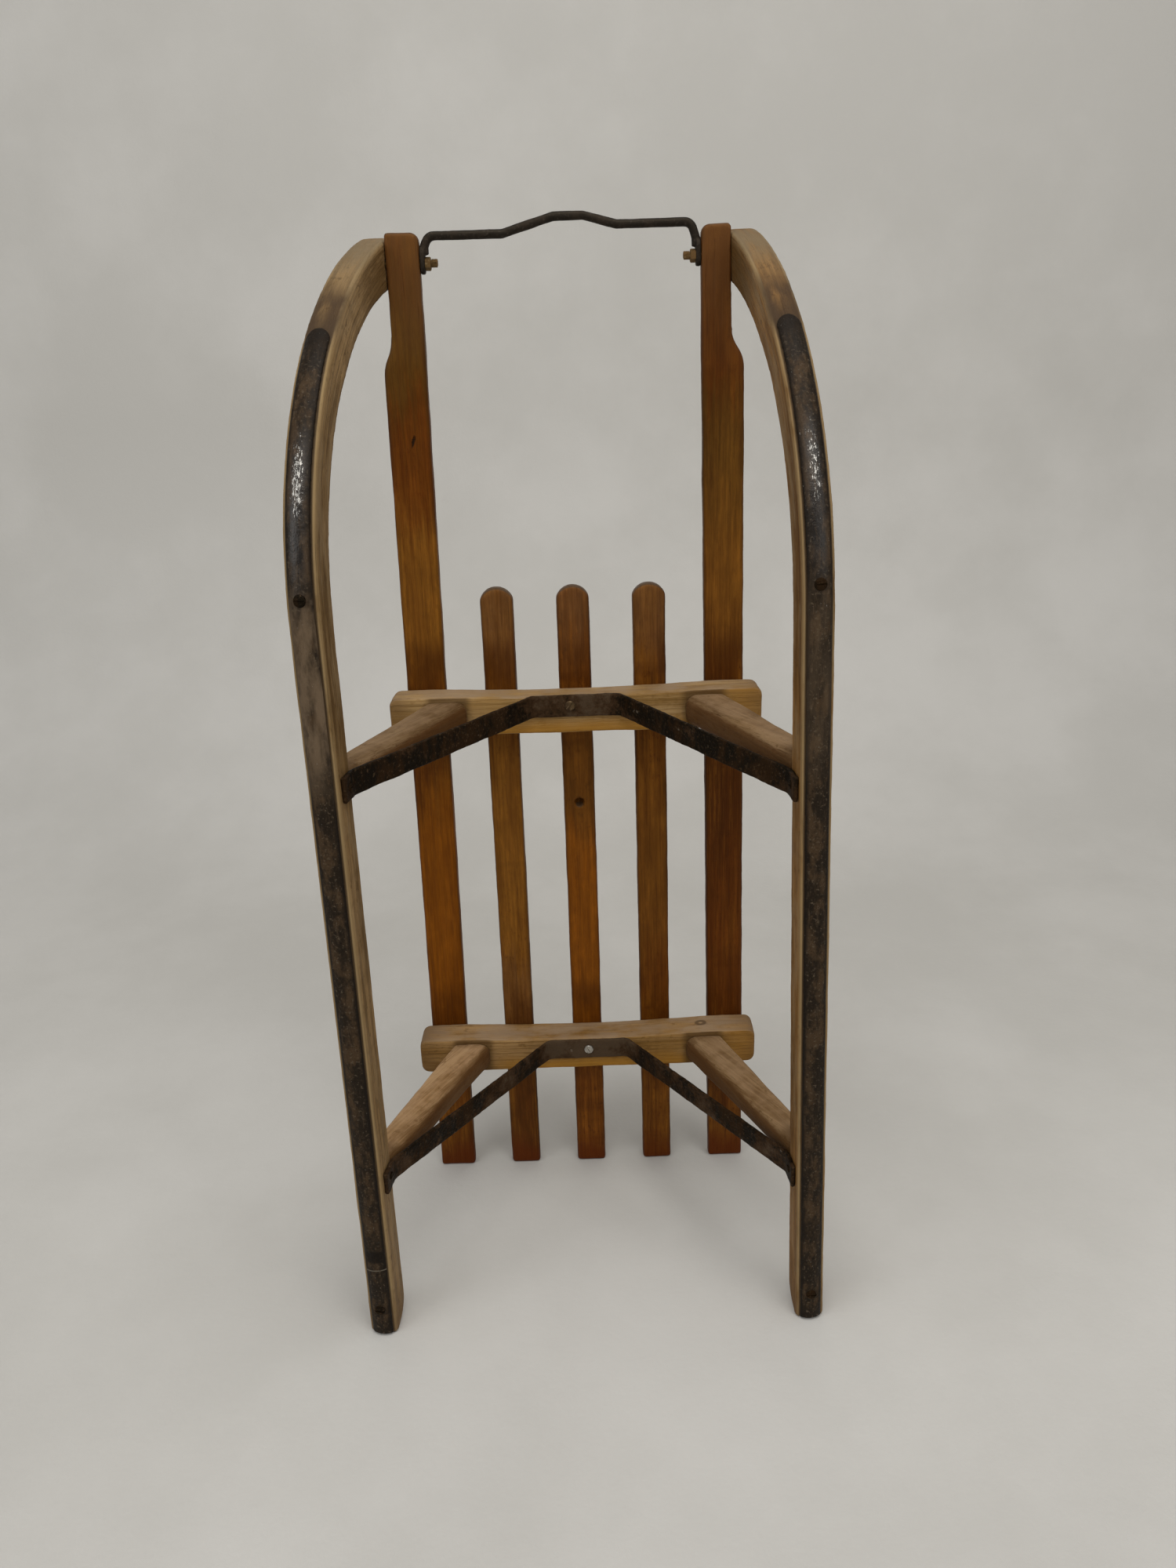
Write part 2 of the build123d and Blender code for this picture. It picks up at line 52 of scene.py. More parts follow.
SEAT_HEIGHT = 0.240         # running surface to the tops of the slats
BRACE_LEVEL = 0.1925        # running surface to the face of the braces' flat middles
SLAT_LOW, SLAT_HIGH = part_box("slat_middle")
RUNNING_Y = SLAT_HIGH.y - SEAT_HEIGHT
MIDDLE_X = (SLAT_LOW.x + SLAT_HIGH.x) / 2
ONE_POINT = 0.00001         # points closer than this are one
ONE_FACE = math.radians(1.0)      # faces that turn less than this are one
SHARP_EDGE = math.radians(35.0)   # edges that turn more than this are rounded
SAME_WAY = 0.99             # least cosine between two directions that count as one
UP = (0.0, 0.0, 1.0)        # direction of the nose
FRONT = (0.0, -1.0, 0.0)    # direction of the running side


class Side(Enum):
    """Side of the sled as the viewer sees it, with its sign along X."""

    LEFT = -1
    RIGHT = 1


@dataclass(frozen=True)
class RunnerFrame:
    """Place of a runner, with the curve that its wood is bent to.

    Its own axes are across, up from the running surface and along the runner.
    """

    side: Side
    toe_in: float
    splay: float
    tail_x: float = 0.185
    bend_start: float = 0.615
    bend_radius: float = 0.254
    bend_turn: float = math.radians(48.0)
    nose_radius: float = 0.359

    def matrix(self) -> Matrix:
        """Matrix from the runner's own axes to the sled's."""
        sign = self.side.value
        turn = Matrix.Rotation(math.radians(-sign * self.toe_in), 4, "Y")
        lean = Matrix.Rotation(math.radians(sign * self.splay), 4, "Z")
        return Matrix.Translation((MIDDLE_X + sign * self.tail_x, RUNNING_Y, 0.0)) @ turn @ lean

    def nose_centre(self) -> tuple[float, float]:
        """Length and height of the centre of the slower curve at the nose."""
        step = self.bend_radius - self.nose_radius
        along = self.bend_start + step * math.sin(self.bend_turn)
        return along, self.bend_radius - step * math.cos(self.bend_turn)

    def seat(self, across: float, height: float, along: float, facing: Vector) -> Matrix:
        """Place for a small piece whose own +Z is to point along a direction of the runner.

        Args:
            across: Distance outwards from the runner's middle.
            height: Distance up from the running surface.
            along: Distance from the tail.
            facing: Direction in the runner's axes, with +X outwards.

        Returns:
            Matrix that carries the piece from its own axes to the sled's.
        """
        sign = self.side.value
        place = Matrix.Translation((sign * across, height, along))
        outwards = Vector((sign * facing.x, facing.y, facing.z))
        return self.matrix() @ place @ outwards.to_track_quat("Z", "Y").to_matrix().to_4x4()


RUNNERS = {
    "left": RunnerFrame(Side.LEFT, toe_in=0.0, splay=8.2),
    "right": RunnerFrame(Side.RIGHT, toe_in=1.35, splay=4.1),
}


@dataclass(frozen=True)
class Field:
    """Value or vector at every point of a surface, as a socket among a material's nodes."""

    recipe: "Recipe"
    socket: NodeSocket

    def __add__(self, other: "Value") -> "Field":
        """Sum with another value."""
        return self.recipe.math("ADD", self, other)

    def __sub__(self, other: "Value") -> "Field":
        """This value less another."""
        return self.recipe.math("SUBTRACT", self, other)

    def __rsub__(self, other: float) -> "Field":
        """A number less this value."""
        return self.recipe.math("SUBTRACT", other, self)

    def __mul__(self, other: "Value") -> "Field":
        """Product with another value."""
        return self.recipe.math("MULTIPLY", self, other)

    def __truediv__(self, other: "Value") -> "Field":
        """This value divided by another."""
        return self.recipe.math("DIVIDE", self, other)

    def __pow__(self, power: float) -> "Field":
        """Power of this value."""
        return self.recipe.math("POWER", self, power)

    def __abs__(self) -> "Field":
        """This value without its sign."""
        return self.recipe.math("ABSOLUTE", self)

    def most(self, other: "Field") -> "Field":
        """The larger of two values."""
        return self.recipe.math("MAXIMUM", self, other)

    def hypot(self, other: "Field") -> "Field":
        """Length of the two values' diagonal."""
        return self.recipe.math("SQRT", self**2.0 + other**2.0)

    def ramp(self, start: float, end: float, top: float = 1.0) -> "Field":
        """Smooth rise from 0 at start to top at end, where start may be the larger.

        Args:
            start: Value where the result is 0.
            end: Value where the result is full.
            top: Full result.

        Returns:
            The rise.
        """
        first, last = (top, 0.0) if start > end else (0.0, top)
        inputs = {"Value": self, "From Min": min(start, end), "From Max": max(start, end)}
        inputs |= {"To Min": first, "To Max": last}
        return self.recipe.node("MapRange", "Result", inputs, interpolation_type="SMOOTHSTEP")

    def band(self, middle: float, half: float, soft: float) -> "Field":
        """Mask that is full within half of middle and fades over soft beyond it."""
        return abs(self - middle).ramp(half + soft, half)

    def dot(self, direction: Triple) -> "Field":
        """Measure of this vector along a direction."""
        return self.recipe.node("VectorMath", "Value", {0: self, 1: direction}, operation="DOT_PRODUCT")

    def split(self) -> list["Field"]:
        """The three measures of this vector."""
        first = self.recipe.node("SeparateXYZ", 0, {0: self})
        return [Field(self.recipe, socket) for socket in first.socket.node.outputs]

    def noise(self, scale: Triple, detail: float = 3.0, rough: float = 0.55, seed: float = 0.0) -> "Field":
        """Cloudy pattern at these coordinates, about 0.2 to 0.8.

        Args:
            scale: Patches per metre along each axis.
            detail: Octaves.
            rough: Strength of the finer octaves.
            seed: Place in the pattern, so that pieces differ.

        Returns:
            The pattern.
        """
        shift = (seed * 3.1, seed * 1.7, seed * 2.3)
        place = self.recipe.node("Mapping", "Vector", {"Vector": self, "Scale": scale, "Location": shift})
        inputs = {"Vector": place, "Scale": 1.0, "Detail": detail, "Roughness": rough}
        return self.recipe.node("TexNoise", "Fac", inputs)


Value = Field | float


class Recipe:
    """One material's nodes, with short calls for those that the finishes share."""

    def __init__(self, name: str, specular: float = 0.22, tint: Colour = (1.0, 0.78, 0.5)) -> None:
        """Start a material with its shader, object coordinates and surface direction.

        Args:
            name: The material's name.
            specular: Level of its reflections.
            tint: Colour of its reflections.
        """
        self.material: Material = bpy.data.materials.new(name)
        self.material.use_nodes = True
        self.nodes = self.material.node_tree.nodes
        self.links = self.material.node_tree.links
        self.shader: Node = self.nodes["Principled BSDF"]
        self.set("Specular IOR Level", specular)
        self.set("Specular Tint", tint)
        self.place = self.node("TexCoord", "Object", {})
        self.facing = self.node("NewGeometry", "Normal", {})
        self.sharpness = self.node("NewGeometry", "Pointiness", {})

    def feed(self, socket: NodeSocket, value: Value | Triple) -> None:
        """Link a socket, or set its constant."""
        if isinstance(value, Field):
            self.links.new(value.socket, socket)
        elif isinstance(value, tuple) and socket.type == "RGBA":
            socket.default_value = (*value, 1.0)
        else:
            socket.default_value = value

    def set(self, name: str, value: Value | Triple) -> None:
        """Feed one of the shader's inputs."""
        self.feed(self.shader.inputs[name], value)

    def node(
        self, kind: str, output: int | str, inputs: dict[int | str, Value | Triple], **settings: str
    ) -> Field:
        """Add a node.

        Args:
            kind: Kind of node.
            output: Number or name of the output that is wanted.
            inputs: Values by the numbers or names of the inputs.
            **settings: The node's settings.

        Returns:
            That output.
        """
        node = self.nodes.new(f"ShaderNode{kind}")
        for key, setting in settings.items():
            setattr(node, key, setting)
        for key, value in inputs.items():
            self.feed(node.inputs[key], value)
        return Field(self, node.outputs[output])

    def math(self, operation: str, first: Value, second: Value = 0.0) -> Field:
        """Calculation with one or two values."""
        return self.node("Math", 0, {0: first, 1: second}, operation=operation)

    def own_axes(self, matrix: Matrix) -> Field:
        """Coordinates in a piece's own axes, which the matrix carries to the sled's."""
        inputs = {"Location": matrix.translation, "Rotation": matrix.to_euler("XYZ"), "Vector": self.place}
        return self.node("Mapping", "Vector", inputs, vector_type="TEXTURE")

    def joined(self, *measures: Field) -> Field:
        """Vector of three measures."""
        return self.node("CombineXYZ", 0, dict(enumerate(measures)))

    def blend(self, share: Value, under: Field | Colour, over: Field | Colour, mode: str = "MIX") -> Field:
        """Lay one colour over another by a share."""
        return self.node("Mix", 2, {0: share, 6: under, 7: over}, data_type="RGBA", blend_type=mode)

    def chosen(self, test: Field, otherwise: Field, value: Field) -> Field:
        """The value where the test is 1, and the other where it is 0."""
        return self.node("Mix", 0, {0: test, 2: otherwise, 3: value})

    def relief(self, height: Field, depth: float, under: Field | None = None) -> Field:
        """Bump of a stated depth in metres, on top of another if given."""
        below = {} if under is None else {"Normal": under}
        return self.node("Bump", "Normal", {"Strength": 1.0, "Distance": depth, "Height": height} | below)


@dataclass
class Coat:
    """A surface in the making: its colour, roughness and relief so far."""

    recipe: Recipe
    colour: Field
    roughness: Field | None = None
    normal: Field | None = None

    def lay(self, share: Value, tint: Colour, mode: str = "MIX") -> None:
        """Lay a tint over the colour by a share."""
        self.colour = self.recipe.blend(share, self.colour, tint, mode)

    def emboss(self, height: Field, depth: float) -> None:
        """Add relief of a stated depth in metres."""
        self.normal = self.recipe.relief(height, depth, self.normal)

    def finish(self) -> Material:
        """Connect the shader and hand over the material."""
        parts = {"Base Color": self.colour, "Roughness": self.roughness, "Normal": self.normal}
        for name, value in parts.items():
            self.recipe.set(name, value)
        return self.recipe.material


@dataclass(frozen=True)
class WoodFinish:
    """One board's straight-grained wood, with growth rings, fibres, rays and uneven tone."""

    pale: Colour
    body: Colour
    dark: Colour
    ring: Colour
    ring_spacing: float = 0.0045
    ring_strength: float = 0.4
    fibre: float = 0.35
    gloss: tuple[float, float] = (0.36, 0.62)
    seed: float = 0.0
    heart: Triple = (0.09, 0.05, 0.012)

    def shaded(self, light: float, seed: float) -> "WoodFinish":
        """The same wood with its colours made lighter or darker by a factor, and its pattern moved.

        Args:
            light: Factor on its colours.
            seed: Place in the pattern.

        Returns:
            The lighter or darker finish.
        """
        pale, body, dark, ring = (
            tuple(light * part for part in colour) for colour in (self.pale, self.body, self.dark, self.ring)
        )
        return replace(self, pale=pale, body=body, dark=dark, ring=ring, seed=seed)

    def layers(self, recipe: Recipe, own: Field) -> Coat:
        """Add the wood's nodes, with the grain along the third of the board's own axes.

        Args:
            recipe: Material that gets the nodes.
            own: Coordinates in the board's own axes, in metres.

        Returns:
            Colour, roughness and normal of the bare wood.
        """
        seed = self.seed
        broad = own.noise((22.0, 22.0, 5.0), 3.0, 0.6, seed)
        coat = Coat(recipe, recipe.blend(broad.ramp(0.4, 0.58), self.body, self.pale))
        murk = own.noise((13.0, 13.0, 3.6), 4.0, 0.6, seed + 5.0)
        coat.lay(murk.ramp(0.48, 0.64, 0.85), self.dark)
        aside, behind, slope = self.heart
        x, y, z = own.split()
        back = y + z * slope - behind
        reach = (x - aside).hypot(back)
        sway = own.noise((24.0, 24.0, 3.5), 3.0, 0.5, seed + 9.0)
        years = (reach + sway * 0.014) / self.ring_spacing
        wave = recipe.math("FRACT", years)
        ring = wave.ramp(0.3, 0.9) * wave.ramp(1.0, 0.9)
        patchy = own.noise((40.0, 40.0, 9.0), 3.0, 0.6, seed + 7.0).ramp(0.35, 0.65)
        coat.lay(ring * patchy * self.ring_strength, self.ring)
        fibre = own.noise((1400.0, 1400.0, 26.0), 3.0, 0.65, seed)
        streak = own.noise((320.0, 320.0, 5.0), 3.0, 0.6, seed + 2.0)
        thread = fibre * 0.5 + streak * 0.5
        coat.lay(thread.ramp(0.5, 0.4, 1.3 * self.fibre), self.dark)
        coat.lay(thread.ramp(0.5, 0.6, 1.2 * self.fibre), self.pale)
        vein = own.noise((130.0, 130.0, 7.0), 4.0, 0.65, seed + 6.0)
        coat.lay(vein.ramp(0.5, 0.64, self.fibre), self.dark)
        curl = own.noise((9.0, 9.0, 70.0), 2.0, 0.5, seed + 3.0)
        coat.lay(curl.ramp(0.52, 0.72, 0.3), self.dark)
        scuff = own.noise((520.0, 520.0, 16.0), 2.0, 0.5, seed + 12.0)
        coat.lay(scuff.ramp(0.64, 0.76, 1.5 * self.fibre), self.dark)
        grime = own.noise((210.0, 210.0, 120.0), 3.0, 0.6, seed + 14.0)
        coat.lay(grime.ramp(0.58, 0.7, 1.4 * self.fibre), self.dark)
        rays = own.noise((900.0, 900.0, 130.0), 1.0, 0.5, seed + 4.0)
        coat.lay(rays.ramp(0.62, 0.74, 0.55), self.ring)
        smooth, dull = self.gloss
        rough = murk.ramp(0.3, 0.7, 0.6 * (dull - smooth)) + smooth
        coat.roughness = rough + thread.ramp(0.3, 0.7, 0.4 * (dull - smooth))
        coat.emboss(thread + scuff.ramp(0.76, 0.64, 0.5), 0.0006)
        coat.emboss(broad + ring * -0.12, 0.0012)
        return coat


SLAT_TONES = {
    "slat_outer_left": WoodFinish(
        (0.205, 0.074, 0.007), (0.138, 0.04, 0.003), (0.062, 0.0145, 0.001), (0.062, 0.0155, 0.0012),
        0.005, 0.55, 0.4, seed=1.0, heart=(0.02, 0.075, 0.09),
    ),
    "slat_inner_left": WoodFinish(
        (0.195, 0.074, 0.008), (0.13, 0.043, 0.0045), (0.063, 0.017, 0.0015), (0.066, 0.0185, 0.002),
        0.004, 0.35, 0.4, seed=2.0,
    ),
    "slat_middle": WoodFinish(
        (0.19, 0.06, 0.0055), (0.13, 0.036, 0.003), (0.06, 0.014, 0.001), (0.064, 0.0155, 0.0012),
        0.0045, 0.35, 0.4, seed=3.0, heart=(-0.06, 0.08, 0.02),
    ),
    "slat_inner_right": WoodFinish(
        (0.2, 0.071, 0.007), (0.134, 0.041, 0.0038), (0.063, 0.016, 0.0012), (0.066, 0.0175, 0.0015),
        0.004, 0.35, 0.4, seed=4.0, heart=(-0.09, 0.04, 0.015),
    ),
    "slat_outer_right": WoodFinish(
        (0.17, 0.06, 0.0065), (0.11, 0.032, 0.0035), (0.047, 0.0105, 0.001), (0.05, 0.012, 0.001),
        0.005, 0.4, 0.4, seed=5.0, heart=(0.1, 0.06, 0.03),
    ),
}


@dataclass(frozen=True)
class Stain:
    """Patch of another tone along a slat, in metres from the tail."""

    middle: float
    half: float
    colour: Colour
    share: float = 0.6


OLIVE = (0.075, 0.036, 0.005)
RUSSET = (0.094, 0.0215, 0.0012)
OCHRE = (0.185, 0.074, 0.009)
DUSTY = (0.135, 0.062, 0.022)
AMBER = (0.205, 0.06, 0.002)
SLAT_STAINS = {
    "slat_outer_left": (
        Stain(0.8, 0.025, OLIVE, 0.8), Stain(0.7, 0.02, RUSSET, 0.75),
        Stain(0.6, 0.025, OCHRE), Stain(0.3, 0.08, AMBER, 0.75),
    ),
    "slat_inner_left": (
        Stain(0.59, 0.01, DUSTY), Stain(0.36, 0.05, OCHRE, 0.5), Stain(0.19, 0.01, DUSTY, 0.5),
    ),
    "slat_middle": (
        Stain(0.59, 0.01, DUSTY), Stain(0.43, 0.02, OLIVE, 0.4), Stain(0.26, 0.06, AMBER, 0.7),
    ),
    "slat_inner_right": (
        Stain(0.58, 0.015, DUSTY), Stain(0.33, 0.06, OCHRE, 0.4), Stain(0.21, 0.01, RUSSET, 0.4),
    ),
    "slat_outer_right": (
        Stain(0.8, 0.03, RUSSET, 0.5), Stain(0.7, 0.02, OLIVE, 0.6),
        Stain(0.61, 0.025, OCHRE, 0.5), Stain(0.25, 0.04, RUSSET, 0.5),
    ),
}
CROSSBAR_TONES = {
    "crossbar_front": WoodFinish(
        (0.41, 0.265, 0.118), (0.315, 0.18, 0.057), (0.16, 0.08, 0.02), (0.18, 0.094, 0.026),
        0.004, 0.4, 0.32, (0.55, 0.8), 1.5,
    ),
    "crossbar_rear": WoodFinish(
        (0.35, 0.205, 0.08), (0.26, 0.134, 0.034), (0.125, 0.056, 0.011), (0.14, 0.066, 0.016),
        0.004, 0.4, 0.4, (0.55, 0.8), 4.5,
    ),
}
LEG_TONE = WoodFinish(
    (0.27, 0.17, 0.085), (0.19, 0.108, 0.045), (0.09, 0.043, 0.014), (0.12, 0.062, 0.022),
    0.004, 0.3, 0.45, (0.55, 0.8),
)
RUNNER_TONES = {
    "left": WoodFinish(
        (0.285, 0.177, 0.076), (0.184, 0.105, 0.037), (0.077, 0.0395, 0.0115), (0.092, 0.048, 0.015),
        0.0035, 0.45, 0.48, (0.5, 0.8), 6.0, (0.02, 0.09, 0.01),
    ),
    "right": WoodFinish(
        (0.275, 0.142, 0.044), (0.188, 0.085, 0.018), (0.08, 0.0315, 0.0055), (0.094, 0.04, 0.008),
        0.0035, 0.45, 0.48, (0.5, 0.8), 7.0, (-0.02, 0.09, 0.01),
    ),
}


@dataclass(frozen=True)
class IronFinish:
    """Old iron with blotches of rust, pits and rubbed places."""

    body: Colour
    rust: Colour
    pale: Colour
    pits: float = 0.0006
    gloss: tuple[float, float] = (0.4, 0.7)
    seed: float = 0.0

    def layers(self, recipe: Recipe, own: Field) -> Coat:
        """Add the iron's nodes.

        Args:
            recipe: Material that gets the nodes.
            own: Coordinates in metres.

        Returns:
            Colour, roughness and normal of the bare iron.
        """
        blotch = own.noise((55.0, 55.0, 30.0), 5.0, 0.65, self.seed)
        speck = own.noise((420.0, 420.0, 420.0), 3.0, 0.6, self.seed + 1.0)
        coat = Coat(recipe, recipe.blend(blotch.ramp(0.45, 0.6), self.body, self.rust))
        coat.lay(speck.ramp(0.56, 0.7, 0.75), self.pale)
        coat.lay(speck.ramp(0.42, 0.28, 0.6), (0.004, 0.0025, 0.0015))
        smooth, dull = self.gloss
        coat.roughness = blotch.ramp(0.4, 0.65, dull - smooth) + smooth
        pits = own.noise((180.0, 180.0, 180.0), 4.0, 0.7, self.seed + 2.0)
        coat.emboss(speck * 0.3 + pits, self.pits)
        return coat


SHOE_TONE = IronFinish(
    (0.016, 0.0105, 0.006), (0.055, 0.033, 0.0165), (0.1, 0.074, 0.048), 0.0005, (0.4, 0.62)
)
BRACE_TONE = IronFinish(
    (0.0032, 0.0018, 0.0009), (0.019, 0.0085, 0.003), (0.062, 0.038, 0.02), 0.0012, (0.5, 0.75), 3.0
)
BAR_TONE = IronFinish(
    (0.0095, 0.008, 0.0072), (0.02, 0.015, 0.0118), (0.042, 0.034, 0.029), 0.0006, (0.5, 0.68), 5.0
)
BOLT_TONE = IronFinish(
    (0.1, 0.06, 0.022), (0.14, 0.078, 0.03), (0.26, 0.18, 0.09), 0.0004, (0.4, 0.6), 7.0
)
BRONZE_TONE = IronFinish(
    (0.1, 0.064, 0.032), (0.06, 0.036, 0.02), (0.24, 0.17, 0.1), 0.0003, (0.35, 0.55), 8.0
)
BRIGHT_TONE = IronFinish(
    (0.36, 0.34, 0.3), (0.2, 0.165, 0.13), (0.55, 0.53, 0.5), 0.0002, (0.25, 0.4), 9.0
)


def only(piece: Object) -> None:
    """Select one piece and make it the active one."""
    bpy.ops.object.select_all(action="DESELECT")
    piece.select_set(True)
    bpy.context.view_layer.objects.active = piece


def apply_modifier(piece: Object, kind: str, **settings: object) -> None:
    """Add a modifier to a piece and apply it.

    Args:
        piece: Piece that is changed.
        kind: Kind of modifier.
        **settings: The modifier's settings.
    """
    only(piece)
    modifier = piece.modifiers.new(kind.lower(), kind)
    for key, value in settings.items():
        setattr(modifier, key, value)
    bpy.ops.object.modifier_apply(modifier=modifier.name)


def dress(name: str, material: Material) -> None:
    """Give a solid its finish in every slot.

    Args:
        name: The solid's name.
        material: Its finish.
    """
    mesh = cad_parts[name].data
    for index in range(max(1, len(mesh.materials))):
        if mesh.materials:
            mesh.materials[index] = material
        else:
            mesh.materials.append(material)
    LOG.info("dressed %s in %s", name, material.name)


@dataclass(frozen=True)
class Wear:
    """Rounded edges, dents and grit that use has given a piece.

    Measures are in metres: the width that an edge loses, the grid of the new mesh, and the depth and size
    of dents and grit. Rounding counts the smoothing passes, and keep is the share of faces that stay.
    """

    edge: float = 0.002
    grid: float = 0.0012
    rounding: int = 6
    dents: float = 0.0006
    dent_size: float = 0.04
    grit: float = 0.0001
    grit_size: float = 0.006
    keep: float = 0.28

    def uneven(self, piece: Object, size: float, depth: float) -> None:
        """Push a piece's faces in and out by a cloudy pattern.

        Args:
            piece: Piece that is changed.
            size: Size of the pattern's patches.
            depth: Largest push.
        """
        pattern = bpy.data.textures.new(f"{piece.name}_pattern", "CLOUDS")
        pattern.noise_scale = size
        pattern.noise_depth = 3
        apply_modifier(
            piece, "DISPLACE", texture=pattern, texture_coords="LOCAL", strength=2.0 * depth, mid_level=0.5
        )
        bpy.data.textures.remove(pattern)

    def dress(self, name: str, material: Material, slot: str) -> Object:
        """Model the worn piece from a solid, and let it stand for that solid.

        Args:
            name: The solid's name.
            material: The piece's finish.
            slot: Name of the finish's slot; not used.

        Returns:
            The worn piece.
        """
        piece = bpy.data.objects.new(f"{name}_worn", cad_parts[name].data.copy())
        piece.data.name = piece.name
        bpy.context.collection.objects.link(piece)
        only(piece)
        bpy.ops.object.mode_set(mode="EDIT")
        bpy.ops.mesh.select_all(action="SELECT")
        bpy.ops.mesh.remove_doubles(threshold=ONE_POINT)
        bpy.ops.mesh.dissolve_limited(angle_limit=ONE_FACE)
        bpy.ops.object.mode_set(mode="OBJECT")
        apply_modifier(
            piece, "BEVEL", width=self.edge, segments=3, limit_method="ANGLE",
            angle_limit=SHARP_EDGE, use_clamp_overlap=False,
        )
        apply_modifier(piece, "REMESH", mode="VOXEL", voxel_size=self.grid)
        apply_modifier(piece, "SMOOTH", factor=0.5, iterations=self.rounding)
        self.uneven(piece, self.dent_size, self.dents)
        self.uneven(piece, self.grit_size, self.grit)
        apply_modifier(piece, "DECIMATE", ratio=self.keep)
        only(piece)
        bpy.ops.object.shade_smooth()
        piece.data.materials.clear()
        piece.data.materials.append(material)
        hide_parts(name)
        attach(piece, "root")
        LOG.info("wore %s down to %d faces", name, len(piece.data.polygons))
        return piece


WOOD_WEAR = Wear()
RUNNER_WEAR = Wear(edge=0.0025, dents=0.0004, keep=0.24)
SHOE_WEAR = Wear(edge=0.0006, grid=0.0007, dents=0.00015, grit_size=0.004, keep=0.2)
BRACE_WEAR = Wear(0.0008, 0.0008, 5, dents=0.0005, dent_size=0.018, grit=0.00025, grit_size=0.004, keep=0.35)
BAR_WEAR = Wear(0.0007, 0.0007, 4, dents=0.0003, dent_size=0.015, grit=0.00008, grit_size=0.004, keep=0.4)


def pick_faces(piece: Object, direction: Triple) -> None:
    """In edit mode, select only the faces that point along a direction.

    Args:
        piece: Piece in edit mode.
        direction: Direction of the faces' normals.
    """
    bpy.ops.mesh.select_all(action="DESELECT")
    bpy.ops.object.mode_set(mode="OBJECT")
    for face in piece.data.polygons:
        face.select = face.normal.dot(Vector(direction)) > SAME_WAY
    bpy.ops.object.mode_set(mode="EDIT")
    bpy.ops.mesh.select_mode(type="FACE")


def place_copy(model: Object, name: str, place: Matrix, material: Material) -> Object:
    """Set a copy of a modelled piece in its place, riding on the sled.

    Args:
        model: Piece modelled at the origin along +Z.
        name: The copy's name.
        place: Matrix of its place.
        material: Its finish.

    Returns:
        The copy.
    """
    piece = model.copy()
    piece.data = model.data.copy()
    piece.name = piece.data.name = name
    piece.data.transform(place)
    piece.data.materials.clear()
    piece.data.materials.append(material)
    bpy.context.collection.objects.link(piece)
    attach(piece, "root")
    LOG.info("placed %s", name)
    return piece


def remove(model: Object) -> None:
    """Take a model away once its copies are placed."""
    bpy.data.objects.remove(model, do_unlink=True)


